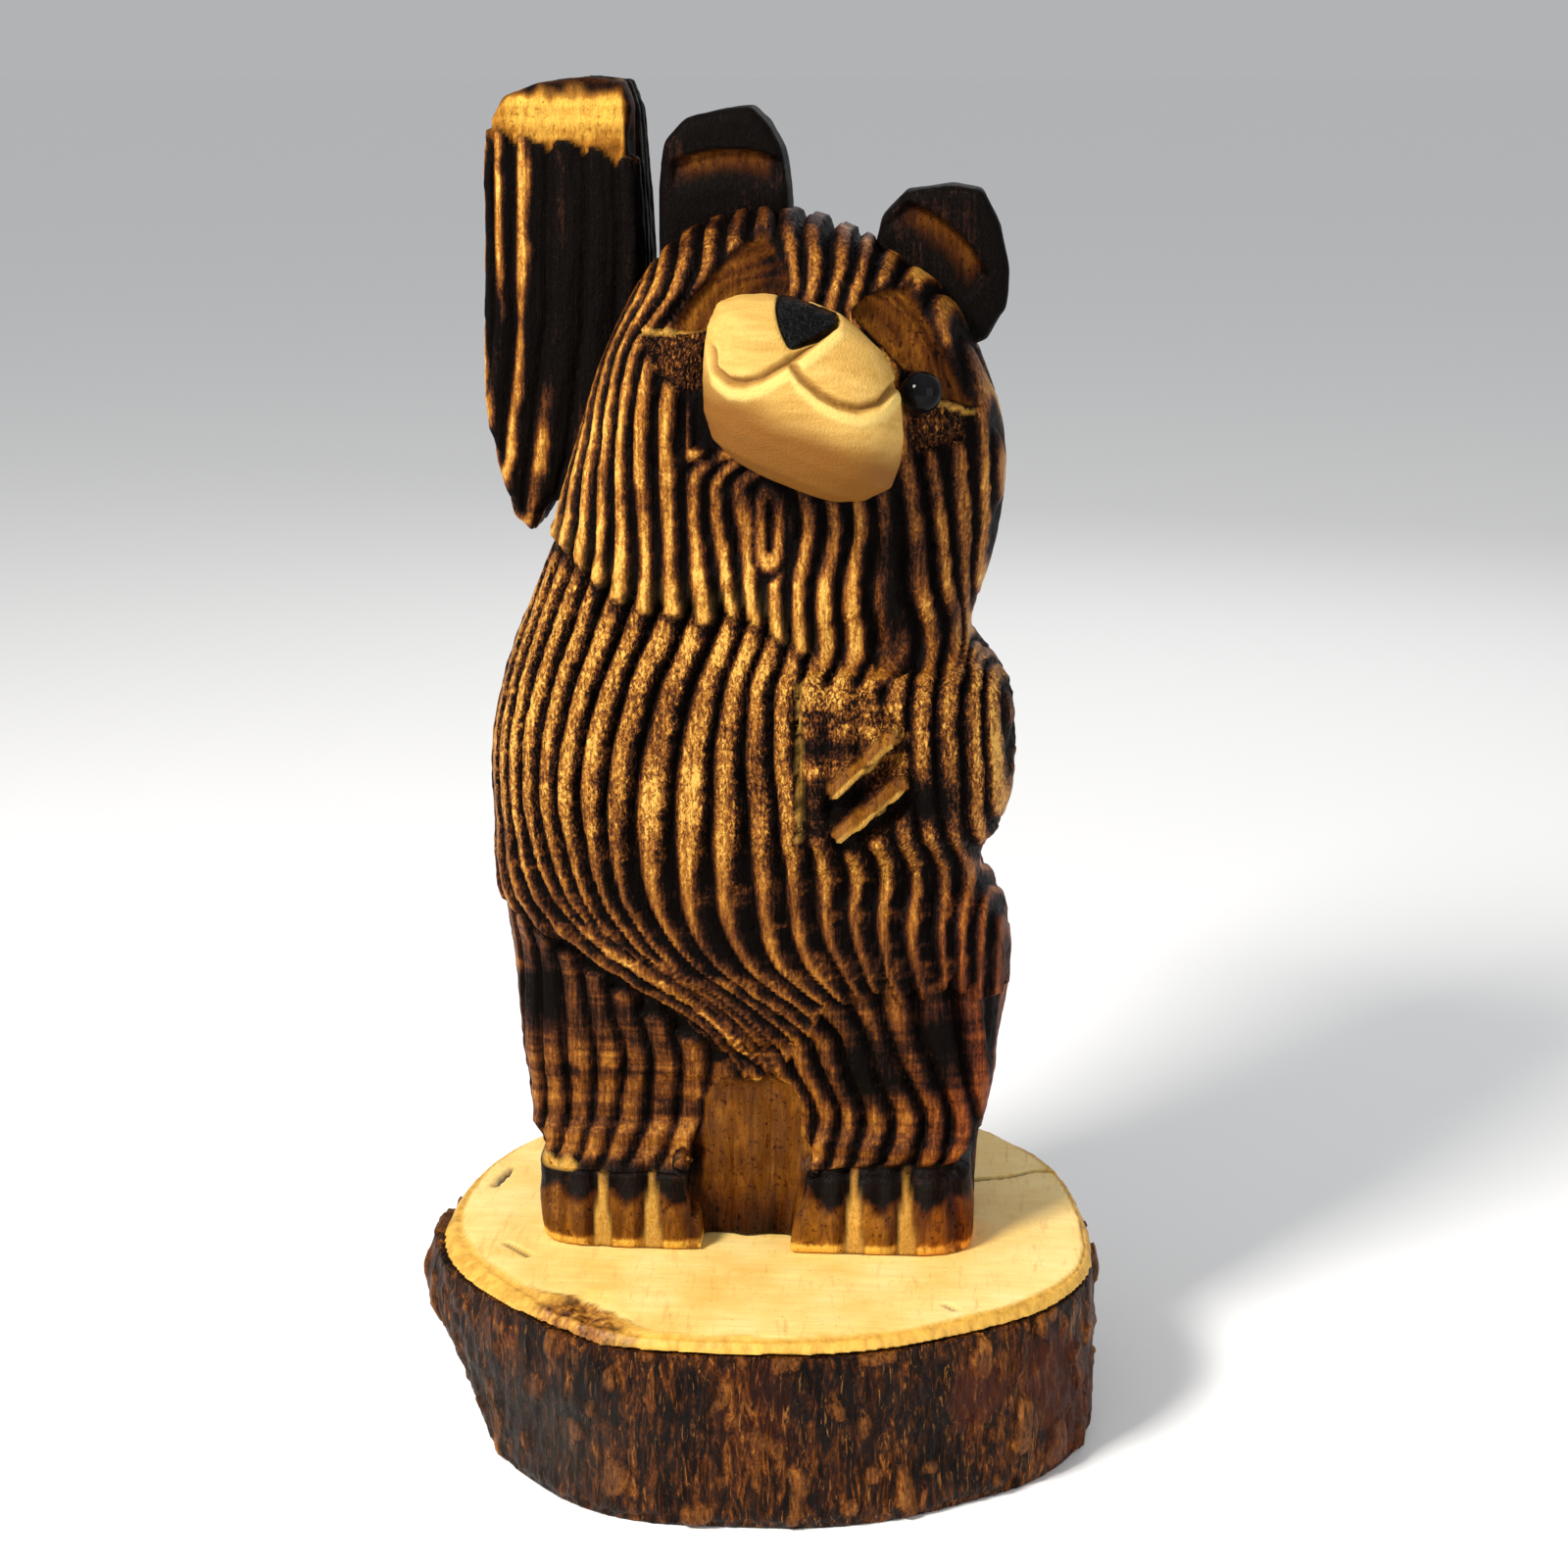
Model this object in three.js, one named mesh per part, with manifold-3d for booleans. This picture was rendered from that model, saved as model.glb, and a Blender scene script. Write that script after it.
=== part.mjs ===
// A carved bear that stands on a slice of a tree, its right arm raised in a wave.
// Millimetres. +Z is up, the bear faces -Y, and the origin is the middle of the slice's underside.
import * as THREE from "three";
import { mergeVertices } from "three/addons/utils/BufferGeometryUtils.js";
import Module from "manifold-3d";

const wasm = await Module();
wasm.setup();

// ---- Driving dimensions ----

const GAP = 0.3;              // clearance between pieces that touch
const SLICE_TOP = 60;         // thickness of the tree slice
const BARK = 7;               // thickness of the bark
const BARK_TOP = 55;          // height where the debarked bevel begins
const CROWN = 373;            // top of the head
const BLOCK_FRONT = -38;      // front face of the carved beam
const BLOCK_BACK = 37;        // back face of the carved beam
const BLOCK_MIDDLE = (BLOCK_FRONT + BLOCK_BACK) / 2;
const CORNER_POWER = 3.4;     // how square the beam's rounded section is
const FOOT_POWER = 8;         // the same at the feet, which keep the beam's sharp corners
const SECTION_STEPS = 52;     // points round one section of the body
const CUTTER_FRONT = -60;     // where cuts into the front face begin, clear of the body
const GAP_FLOOR = -25;        // floor of the shallow gap between the legs
const TOE_CUTS = [-49, -33.5, 28.5, 44.5];
const TOE_CUT_TOP = 92;
const TOE_CUT_FLOOR = -31;
const CLAW = { radius: 2, length: 24, slant: 50, middle: -44.5 };
const CLAW_PLACES = [[30, 217], [33, 204]];
const BROW_FLOOR = -33.5;     // floor of the flat facets above the eyes
const EYE_RADIUS = 6;
const SHANK_RADIUS = 1.4;
const SHANK_LENGTH = 11;
const DOWEL_RADIUS = 4;
const SCREW = { shank: 2.5, head: 5, headHeight: 3.5, length: 72 };
const COUNTERBORE = { radius: 6.5, depth: 20 };

// Left and right edges of the body seen from the front, as [z, x], from the feet to the crown.
const LEFT_EDGE = [
  [60, -69], [72, -71], [100, -74], [135, -78], [165, -81], [190, -83.5], [211, -84], [225, -82],
  [243, -77], [270, -66], [285, -60], [308, -55], [320, -52], [337, -45], [352, -37], [360, -31],
  [367, -23], [371, -13], [CROWN, -4],
];
const RIGHT_EDGE = [
  [60, 65], [83, 66], [100, 68], [120, 72], [141, 75], [155, 75], [167, 71], [178, 64.5], [188, 68],
  [205, 73], [222, 73.5], [234, 72], [243, 65], [251, 60.5], [263, 64], [280, 68.5], [298, 70.5],
  [312, 69], [329, 63], [341, 58], [352, 50], [361, 36], [367, 25], [371, 14], [CROWN, 5],
];
// Front and back faces along the body's middle, as [z, y].
const FRONT_EDGE = [
  [60, -38], [88, -38], [100, -31], [130, -34], [160, -38], [205, -41], [235, -39], [255, -35],
  [275, -34], [300, -38], [330, -39], [350, -36], [362, -29], [369, -20], [CROWN, -10],
];
const BACK_EDGE = [
  [60, 36], [110, 35], [150, 38], [200, 39], [230, 38], [252, 33], [280, 36], [320, 38], [345, 36],
  [360, 29], [369, 18], [CROWN, 8],
];
const BODY_LEVELS = [
  60, 66, 73, 80, 86, 91, 98, 106, 114, 122, 130, 138, 146, 154, 162, 170, 176, 181, 187, 194, 202, 210,
  218, 226, 234, 239, 244, 249, 254, 260, 267, 275, 283, 291, 300, 309, 318, 327, 336, 344, 351, 357, 362,
  366, 369, 371, CROWN,
];

// The slice's rim seen from above, as [x, y], anticlockwise from the right.
const RIM = [
  [103.5, -16], [101, 8], [97, 28], [90, 46], [78, 62], [62, 78], [42, 90], [18, 97], [-6, 98.3],
  [-32, 94], [-58, 80], [-78, 62], [-92, 42], [-100, 20], [-103.5, -6], [-102, -28], [-95, -47], [-83, -63],
  [-68, -77], [-51, -90], [-33, -97], [-8, -98.5], [22, -97], [46, -90], [66, -79], [84, -67], [97, -50],
  [102.5, -34],
];

// ---- Helpers ----

/** Smooth value of a curve given by [place, value] pairs in rising order (cubic, no overshoot). */
function along(points, place) {
  const last = points.length - 1;
  if (place <= points[0][0]) return points[0][1];
  if (place >= points[last][0]) return points[last][1];
  const slope = (i) => {
    if (i === 0 || i === last) return 0;
    const before = (points[i][1] - points[i - 1][1]) / (points[i][0] - points[i - 1][0]);
    const after = (points[i + 1][1] - points[i][1]) / (points[i + 1][0] - points[i][0]);
    return before * after > 0 ? (2 * before * after) / (before + after) : 0;
  };
  const i = points.findIndex((point) => point[0] > place) - 1;
  const width = points[i + 1][0] - points[i][0];
  const t = (place - points[i][0]) / width;
  const a = 2 * t ** 3 - 3 * t ** 2 + 1;
  const b = (t ** 3 - 2 * t ** 2 + t) * width;
  const c = (t ** 3 - t ** 2) * width;
  return a * points[i][1] + b * slope(i) + (1 - a) * points[i + 1][1] + c * slope(i + 1);
}

/** 0 below one edge, 1 above the other, and smooth between them. */
function ramp(from, to, value) {
  const t = Math.min(1, Math.max(0, (value - from) / (to - from)));
  return t * t * (3 - 2 * t);
}

/** A round bump of height 1 at a place, with its two half-widths. */
function bump(x, z, middleX, middleZ, halfX, halfZ) {
  return Math.exp(-(((x - middleX) / halfX) ** 2) - ((z - middleZ) / halfZ) ** 2);
}

/** One coordinate of a superellipse: its power sets how square the corners are. */
function superellipse(value, power) {
  return Math.sign(value) * Math.abs(value) ** (2 / power);
}

/** A closed mesh through rings of points. The rings are capped flat, or joined last to first. */
function loft(rings, closed = false) {
  const count = rings[0].length;
  const positions = rings.flat().flat();
  const index = [];
  const spans = closed ? rings.length : rings.length - 1;
  for (let ring = 0; ring < spans; ring++) {
    const next = (ring + 1) % rings.length;
    for (let i = 0; i < count; i++) {
      const j = (i + 1) % count;
      const [a, b] = [ring * count + i, ring * count + j];
      const [c, d] = [next * count + i, next * count + j];
      index.push(a, b, d, a, d, c);
    }
  }
  if (!closed) {
    for (const [ring, flip] of [[0, true], [rings.length - 1, false]]) {
      const outline = rings[ring].map((point) => new THREE.Vector2(point[0], point[1]));
      for (const [a, b, c] of THREE.ShapeUtils.triangulateShape(outline, [])) {
        const corners = flip ? [a, c, b] : [a, b, c];
        index.push(...corners.map((corner) => ring * count + corner));
      }
    }
  }
  const geometry = new THREE.BufferGeometry();
  geometry.setAttribute("position", new THREE.Float32BufferAttribute(positions, 3));
  geometry.setIndex(index);
  return geometry;
}

/** A closed three.js geometry as a manifold solid. */
function solid(geometry) {
  const bare = geometry.clone();
  bare.deleteAttribute("normal");
  bare.deleteAttribute("uv");
  const merged = mergeVertices(bare, 1e-4);
  const vertProperties = new Float32Array(merged.attributes.position.array);
  const triVerts = new Uint32Array(merged.index.array);
  return new wasm.Manifold(new wasm.Mesh({ numProp: 3, vertProperties, triVerts }));
}

/** A manifold solid as a named mesh. */
function piece(name, shape, material) {
  const mesh = shape.getMesh();
  const geometry = new THREE.BufferGeometry();
  geometry.setAttribute("position", new THREE.Float32BufferAttribute(mesh.vertProperties, 3));
  geometry.setIndex(Array.from(mesh.triVerts));
  geometry.computeVertexNormals();
  const result = new THREE.Mesh(geometry, material);
  result.name = name;
  return result;
}

/** A front view outline in [x, z] points, cut through from one y to another, with rounded edges. */
function slab(points, front, back, bevel = 0) {
  const shape = new THREE.Shape(points.map(([x, z]) => new THREE.Vector2(x, z)));
  const geometry = new THREE.ExtrudeGeometry(shape, {
    depth: back - front - 2 * bevel,
    bevelEnabled: bevel > 0,
    bevelThickness: bevel,
    bevelSize: bevel,
    bevelOffset: -bevel,
    bevelSegments: 3,
  });
  geometry.rotateX(Math.PI / 2);
  geometry.translate(0, back - bevel, 0);
  return solid(geometry);
}

/** A round rod between two points. */
function rod(radius, start, end, sides = 20) {
  const from = new THREE.Vector3(...start);
  const to = new THREE.Vector3(...end);
  const direction = to.clone().sub(from);
  const geometry = new THREE.CylinderGeometry(radius, radius, direction.length(), sides);
  const turn = new THREE.Quaternion();
  turn.setFromUnitVectors(new THREE.Vector3(0, 1, 0), direction.clone().normalize());
  geometry.applyQuaternion(turn);
  geometry.translate(...from.add(to).multiplyScalar(0.5).toArray());
  return solid(geometry);
}

/** A wood-coloured or other plain material. */
function material(name, color, roughness, metalness = 0) {
  return new THREE.MeshStandardMaterial({ name, color, roughness, metalness });
}

const MATERIALS = {
  charred: material("charred_wood", 0x6b3f14, 0.55),
  bare: material("bare_wood", 0xd9a860, 0.6),
  nose: material("nose_black", 0x0b0b0c, 0.35),
  eye: material("eye_bead", 0x050506, 0.08),
  slice: material("slice_wood", 0xe6cc94, 0.7),
  bark: material("bark", 0x3a1c0c, 0.45),
  dowel: material("dowel_wood", 0xcfa96a, 0.65),
  screw: material("screw_steel", 0x8d9096, 0.35, 0.9),
};

// ---- Body: head, torso, legs and belly arm in one beam ----

/** The belly's hem over the left leg, which falls from the left side to the leg gap. */
function hemHeight(x) {
  return 165 - 36 * ramp(-80, 6, x);
}

/** How far the front face is set back (+y) from the beam's plain rounded front. */
function frontRelief(x, z) {
  const leftLeg = 7 * ramp(hemHeight(x) + 3, hemHeight(x) - 9, z) * ramp(4, -6, x) * ramp(86, 92, z);
  const throat = 6 * bump(x, z, 3, 287, 26, 16);
  const neck = 4 * ramp(14, 26, x) * bump(0, z, 0, 250, 1, 7);
  const forearm = -4 * ramp(8, 18, x) * ramp(184, 196, z) * ramp(244, 236, z);
  const thighFold = 4 * ramp(10, 26, x) * bump(0, z, 0, 178, 1, 8);
  return leftLeg + throat + neck + forearm + thighFold;
}

function bodySection(z) {
  const left = along(LEFT_EDGE, z);
  const right = along(RIGHT_EDGE, z);
  const front = along(FRONT_EDGE, z);
  const back = along(BACK_EDGE, z);
  const middle = (left + right) / 2;
  const halfWidth = (right - left) / 2;
  const power = CORNER_POWER + (FOOT_POWER - CORNER_POWER) * ramp(150, 95, z);
  const ring = [];
  for (let i = 0; i < SECTION_STEPS; i++) {
    const angle = (2 * Math.PI * i) / SECTION_STEPS;
    const across = superellipse(Math.cos(angle), power);
    const through = superellipse(Math.sin(angle), power);
    const x = middle + halfWidth * across;
    const depth = through < 0 ? front - BLOCK_MIDDLE : back - BLOCK_MIDDLE;
    const relief = through < 0 ? frontRelief(x, z) * -through : 0;
    ring.push([x, BLOCK_MIDDLE + depth * Math.abs(through) + relief, z]);
  }
  return ring;
}

/** The gap between the legs: a shallow arch cut into the front only. */
function legGap() {
  const shape = new THREE.Shape();
  shape.moveTo(-18, SLICE_TOP - 5);
  shape.lineTo(8, SLICE_TOP - 5);
  shape.lineTo(13, 96);
  shape.bezierCurveTo(14, 108, 8, 114, -2, 114);
  shape.bezierCurveTo(-13, 114, -17, 108, -20, 88);
  shape.closePath();
  const depth = GAP_FLOOR - CUTTER_FRONT;
  const geometry = new THREE.ExtrudeGeometry(shape, { depth, bevelEnabled: false, curveSegments: 8 });
  geometry.rotateX(Math.PI / 2);
  geometry.translate(0, GAP_FLOOR, 0);
  return solid(geometry);
}

/** One V-shaped cut between two toes, down the front of a foot. */
function toeCut(x) {
  const [mouth, root] = [3, 0.6];
  const shape = new THREE.Shape();
  shape.moveTo(-mouth, CUTTER_FRONT);
  shape.lineTo(mouth, CUTTER_FRONT);
  shape.lineTo(root, TOE_CUT_FLOOR);
  shape.lineTo(-root, TOE_CUT_FLOOR);
  shape.closePath();
  const depth = TOE_CUT_TOP - SLICE_TOP + 5;
  const geometry = new THREE.ExtrudeGeometry(shape, { depth, bevelEnabled: false });
  geometry.translate(x, 0, SLICE_TOP - 5);
  return solid(geometry);
}

/** A slanting claw cut on the belly arm's paw. */
function clawCut([x, z]) {
  const geometry = new THREE.CylinderGeometry(CLAW.radius, CLAW.radius, CLAW.length, 6);
  geometry.rotateZ(THREE.MathUtils.degToRad(-CLAW.slant));
  geometry.translate(x, CLAW.middle, z);
  return solid(geometry);
}

// ---- Brows, ears, arm and muzzle, which are cut into or stood on the body ----

const BROWS = [
  [[-34, 339], [-9, 362], [7, 369], [8, 352], [-14, 343]],
  [[26, 348], [35, 352], [46, 354], [50, 343], [62, 320], [48, 327]],
];

const LEFT_EAR = [
  [-32, 352], [-32, 378], [-30, 391], [-24, 397.5], [-13, 400], [-5, 401], [0, 396], [4, 389], [6, 378],
  [7, 352],
];
const RIGHT_EAR = [
  [29, 352], [33, 370], [40, 377], [53, 379], [62, 377.5], [67, 368], [70, 355], [69.5, 345], [64, 335],
  [52, 330],
];
const EAR_FRONT = -4;
const EAR_BACK = 21;

const RAISED_ARM = [
  [-84, 362], [-84, 382], [-82, 397], [-77, 403.5], [-66, 407.5], [-53, 409], [-42, 408], [-39, 400],
  [-37, 371], [-36, 352], [-45, 318], [-52, 302], [-60, 294], [-61, 287], [-67, 284], [-71, 276],
  [-77, 281], [-81, 294], [-84, 307], [-85, 320], [-85, 345],
];
const ARM_FRONT = -2;
const ARM_BACK = 34;

/** The muzzle's rows up its height: [height, left, right, depth forward]. */
const MUZZLE_ROWS = [
  [-27.5, -16, 6, 10], [-26, -21, 11.5, 16], [-22.5, -26.4, 18.5, 21], [-15.5, -28.8, 26.2, 25.5],
  [-7, -29, 28.8, 28], [1, -28.6, 29.4, 28.5], [8.5, -27.6, 28.6, 26.5], [16, -24.8, 26.6, 23],
  [20.5, -18.5, 23.2, 19.5], [23.5, -11, 17, 17.5], [25.5, -4, 11, 15],
];
const MUZZLE_CENTRE = [13, 324];
const MUZZLE_BACK = -37;
const MUZZLE_SLOPE = 0.4;     // how far the muzzle's rows fall to the right
const MUZZLE_POWER = 2.8;
const MUZZLE_NECK = { left: 14.5, right: 3 };     // how far it is cut in at the face, beside the eyes

/** Puts a geometry made round the muzzle's own centre, rows along z, into its sloping place. */
function placeOnFace(geometry) {
  const slope = new THREE.Matrix4().makeShear(0, -MUZZLE_SLOPE, 0, 0, 0, 0);
  geometry.applyMatrix4(slope);
  geometry.translate(MUZZLE_CENTRE[0], MUZZLE_BACK, MUZZLE_CENTRE[1]);
  return solid(geometry);
}

/** The muzzle's block, flat at the back, or with a clearance the seat that it is glued into. */
function muzzleBlock(clearance) {
  const steps = 28;
  const last = MUZZLE_ROWS.length - 1;
  const rings = MUZZLE_ROWS.map(([height, left, right, depth], row) => {
    const lift = row === 0 ? -clearance : row === last ? clearance : 0;
    const middle = (left + right) / 2;
    const halfWidth = (right - left) / 2;
    const narrow = Math.min(1, halfWidth / 20);
    const ring = [];
    for (let i = 0; i <= steps; i++) {
      const angle = Math.PI + (Math.PI * i) / steps;
      const forward = -superellipse(Math.sin(angle), MUZZLE_POWER);
      const side = superellipse(Math.cos(angle), MUZZLE_POWER);
      const neck = (side < 0 ? MUZZLE_NECK.left : -MUZZLE_NECK.right) * narrow * ramp(0.45, 0.2, forward);
      ring.push([middle + (halfWidth + clearance) * side + neck, -depth * forward, height + lift]);
    }
    if (clearance > 0) {
      const [start, end] = [ring[0][0], ring[steps][0]];
      ring.push([end, clearance, height + lift], [start, clearance, height + lift]);
    }
    return ring;
  });
  return placeOnFace(loft(rings));
}

/** The nose's triangle, cut right through the muzzle's top front edge. */
function noseWedge(inset) {
  const shape = new THREE.Shape();
  shape.moveTo(-7 + inset, 34);
  shape.lineTo(-7 + inset, 21);
  shape.quadraticCurveTo(-6 + inset, 16, -2.6, 12.3 + 1.6 * inset);
  shape.lineTo(9.5 - inset, 23.5);
  shape.lineTo(9.5 - inset, 34);
  shape.closePath();
  const geometry = new THREE.ExtrudeGeometry(shape, { depth: 40, bevelEnabled: false, curveSegments: 5 });
  geometry.rotateX(Math.PI / 2);
  geometry.translate(0, -3 - inset, 0);
  return placeOnFace(geometry);
}

function eyeShape([x, y, z], clearance) {
  const bead = new THREE.SphereGeometry(EYE_RADIUS + clearance, 20, 14);
  bead.rotateX(Math.PI / 2);
  bead.translate(x, y, z);
  const shankEnd = [x, y + EYE_RADIUS + SHANK_LENGTH + clearance, z];
  const shank = rod(SHANK_RADIUS + clearance, [x, y, z], shankEnd, 12);
  return solid(bead).add(shank);
}

const EYES = {
  left_eye: [-8.6, -38, 333],
  right_eye: [45.6, -39.5, 324],
};

// ---- Slice and bark ----

const UNDERCUT = 14;     // how far the rim is pulled in at the foot
const FOOT_LEVELS = [0, 5, 10, 17, 24, 31, 38];     // heights of the rings where it is pulled in

/**
 * The rim's smooth outline at a height, moved in by an inset. It is pulled in at the foot on the front left,
 * where the trunk's root swelling ended, and a chip widens the bevel there.
 */
function rimRing(z, inset, chip = 0, steps = 72) {
  const curve = new THREE.CatmullRomCurve3(
    RIM.map(([x, y]) => new THREE.Vector3(x, y, 0)), true, "centripetal");
  const undercut = UNDERCUT * ramp(FOOT_LEVELS.at(-1), 0, z);
  const ring = [];
  for (let i = 0; i < steps; i++) {
    const point = curve.getPoint(i / steps);
    const worn = chip * bump(point.x, point.y, -82, -48, 34, 40);
    const foot = undercut * bump(point.x, point.y, -100, -16, 34, 48);
    const scale = 1 - (inset + worn + foot) / point.length();
    ring.push([point.x * scale, point.y * scale, z]);
  }
  return ring;
}

function sliceWood() {
  return solid(loft([
    ...FOOT_LEVELS.map((z) => rimRing(z, BARK)),
    rimRing(BARK_TOP + GAP, BARK),
    rimRing(BARK_TOP + 1, 1.5),
    rimRing(SLICE_TOP - 1.5, 3, 3),
    rimRing(SLICE_TOP, 4.2, 6),
  ]));
}

function barkRing() {
  const outside = [[0, 2], [4, 0], [10, 0], [17, 0], [24, 0], [31, 0], [38, 0], [48, 0], [BARK_TOP, 1]];
  const inside = [BARK_TOP, ...FOOT_LEVELS.toReversed()].map((z) => [z, BARK - GAP]);
  return solid(loft([...outside, ...inside].map(([z, inset]) => rimRing(z, inset)), true));
}

// ---- Fasteners ----

const SCREW_PLACES = { base_screw_left: [-42, 4], base_screw_right: [38, 4] };

/** A countersunk wood screw that points up, its head at the bottom of the counterbore. */
function screwShape([x, y]) {
  const head = COUNTERBORE.depth;
  const tip = head + SCREW.length;
  const profile = [
    [0, head], [SCREW.head, head], [SCREW.shank, head + SCREW.headHeight], [SCREW.shank, tip - 8], [0, tip],
  ];
  const geometry = new THREE.LatheGeometry(profile.map(([r, z]) => new THREE.Vector2(r, z)), 20);
  geometry.rotateX(Math.PI / 2);
  geometry.translate(x, y, 0);
  return solid(geometry);
}

/** The room that a screw needs: counterbore, countersink and a hole as long as the screw. */
function screwRoom([x, y]) {
  const head = COUNTERBORE.depth;
  const counterbore = rod(COUNTERBORE.radius, [x, y, -2], [x, y, head - GAP]);
  const countersink = rod(SCREW.head + GAP, [x, y, head - 1], [x, y, head + SCREW.headHeight + GAP]);
  const hole = rod(SCREW.shank + GAP, [x, y, head], [x, y, head + SCREW.length + GAP]);
  return counterbore.add(countersink).add(hole);
}

/** Dowels as [start, end] of their middle lines. */
const DOWELS = {
  arm_dowel_upper: [[-62, 16, 334], [-26, 16, 326]],
  arm_dowel_lower: [[-68, 16, 305], [-34, 16, 300]],
  left_ear_dowel: [[-13, 8, 372], [-13, 8, 336]],
  right_ear_dowel: [[55, 8, 352], [34, 8, 324]],
  muzzle_dowel_left: [[4, -50, 324], [4, -22, 324]],
  muzzle_dowel_right: [[22, -50, 316], [22, -22, 316]],
};

function dowelRoom(name) {
  const [start, end] = DOWELS[name].map((point) => new THREE.Vector3(...point));
  const reach = end.clone().sub(start).setLength(GAP);
  return rod(DOWEL_RADIUS + GAP, start.sub(reach).toArray(), end.add(reach).toArray());
}

// ---- Assembly ----

const leftEar = slab(LEFT_EAR, EAR_FRONT, EAR_BACK, 3);
const rightEar = slab(RIGHT_EAR, EAR_FRONT, EAR_BACK, 3);
const arm = slab(RAISED_ARM, ARM_FRONT, ARM_BACK, 3.5);
const muzzleWhole = muzzleBlock(0);
const nose = muzzleWhole.intersect(noseWedge(GAP));

let body = solid(loft(BODY_LEVELS.map(bodySection)));
const cuts = [
  legGap(),
  muzzleBlock(GAP),
  ...TOE_CUTS.map(toeCut),
  ...CLAW_PLACES.map(clawCut),
  ...BROWS.map((outline) => slab(outline, CUTTER_FRONT, BROW_FLOOR)),
  slab(LEFT_EAR, EAR_FRONT - GAP, EAR_BACK + GAP),
  slab(RIGHT_EAR, EAR_FRONT - GAP, EAR_BACK + GAP),
  slab(RAISED_ARM, ARM_FRONT - GAP, ARM_BACK + 20),
  ...Object.values(EYES).map((eye) => eyeShape(eye, GAP)),
  ...Object.values(SCREW_PLACES).map(screwRoom),
  ...Object.keys(DOWELS).map(dowelRoom),
];
for (const cut of cuts) body = body.subtract(cut);

let slice = sliceWood();
for (const place of Object.values(SCREW_PLACES)) slice = slice.subtract(screwRoom(place));

const group = new THREE.Group();
group.add(
  piece("body", body, MATERIALS.charred),
  piece("raised_arm", arm.subtract(dowelRoom("arm_dowel_upper")).subtract(dowelRoom("arm_dowel_lower")),
    MATERIALS.charred),
  piece("left_ear", leftEar.subtract(dowelRoom("left_ear_dowel")), MATERIALS.charred),
  piece("right_ear", rightEar.subtract(dowelRoom("right_ear_dowel")), MATERIALS.charred),
  piece("muzzle", muzzleWhole.subtract(noseWedge(0)).subtract(dowelRoom("muzzle_dowel_left"))
    .subtract(dowelRoom("muzzle_dowel_right")), MATERIALS.bare),
  piece("nose", nose, MATERIALS.nose),
  piece("base_slice", slice, MATERIALS.slice),
  piece("base_bark", barkRing(), MATERIALS.bark),
);
for (const [name, place] of Object.entries(EYES)) {
  group.add(piece(name, eyeShape(place, 0), MATERIALS.eye));
}
for (const [name, [start, end]] of Object.entries(DOWELS)) {
  group.add(piece(name, rod(DOWEL_RADIUS, start, end), MATERIALS.dowel));
}
for (const [name, place] of Object.entries(SCREW_PLACES)) {
  group.add(piece(name, screwShape(place), MATERIALS.screw));
}

export default group;
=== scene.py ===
"""The looks of a carved, burnt and wire-brushed bear that stands on a slice of a tree."""

import itertools
import math

import bmesh
import bpy
import numpy as np
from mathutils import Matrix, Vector


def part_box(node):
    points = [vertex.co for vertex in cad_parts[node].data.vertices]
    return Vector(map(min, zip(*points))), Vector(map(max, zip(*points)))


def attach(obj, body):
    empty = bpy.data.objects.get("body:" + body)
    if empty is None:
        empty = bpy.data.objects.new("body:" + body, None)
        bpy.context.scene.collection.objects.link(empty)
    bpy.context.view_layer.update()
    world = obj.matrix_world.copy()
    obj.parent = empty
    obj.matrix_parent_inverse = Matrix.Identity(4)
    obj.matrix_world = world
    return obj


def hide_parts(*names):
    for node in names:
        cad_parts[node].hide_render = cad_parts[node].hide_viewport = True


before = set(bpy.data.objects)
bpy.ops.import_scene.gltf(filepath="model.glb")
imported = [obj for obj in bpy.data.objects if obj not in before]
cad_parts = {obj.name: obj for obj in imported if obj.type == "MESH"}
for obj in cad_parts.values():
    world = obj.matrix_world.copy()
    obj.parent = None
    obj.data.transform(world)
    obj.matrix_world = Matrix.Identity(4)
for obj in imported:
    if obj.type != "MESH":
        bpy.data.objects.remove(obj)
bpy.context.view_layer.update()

MM = 0.001
SLICE_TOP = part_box("body")[0][2] / MM
FRONT = -38.0                       # the beam's front face, in millimetres
RING_PITCH = 10.5                   # millimetres between two growth rings
RIDGE_DEPTH = 4.2                   # how deep the grooves between the body's ridges are brushed
CREST_NARROWING = 9.0               # ridges closer together than this are brushed less deeply
BROW_DEPTH = 3.4                    # carved facets above the eyes
SOCKET_DEPTH = 2.0                  # stippled hollows round the eyes
BIB_LIFT = 2.6                      # how proud the bib's lower edge stands
COLUMN_STEP = 6.4                   # how much lower each column of the left leg begins than the last
ARM_RIDGE_DEPTH = 2.2               # grooves of the raised arm
PAW_DEPTH = 2.6                     # the pale cut at the raised arm's end
GOUGE_DEPTH = 2.8                   # the gouge across each ear
MOUTH_DEPTH = 2.2                   # the mouth's carved lines
MOUTH_HALF_WIDTH = 1.7
CRACK_DEPTH = 1.8                   # cracks in the slice's top
KNOT_HEIGHT = 4.6                   # the bulge in the bark, on the left
RIM_SECTORS = 90                    # steps round the slice for finding its edge
BEAD_STEPS = 64                     # steps round an eye bead
FLOOR_HALF = 40.0                   # metres
PITH = (-150.0, 100.0)              # middle of the tree's rings, outside the beam


# ---- Numbers: ramps, curves and noise over arrays of points in millimetres ----

def ramp(low, high, value):
    """0 at low, 1 at high (which may be the lower number), smooth between them."""
    t = np.clip((value - low) / (high - low), 0.0, 1.0)
    return t * t * (3.0 - 2.0 * t)


def spot(x, z, middle, half):
    """A round spot of height 1."""
    return np.exp(-((x - middle[0]) / half[0]) ** 2 - ((z - middle[1]) / half[1]) ** 2)


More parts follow.
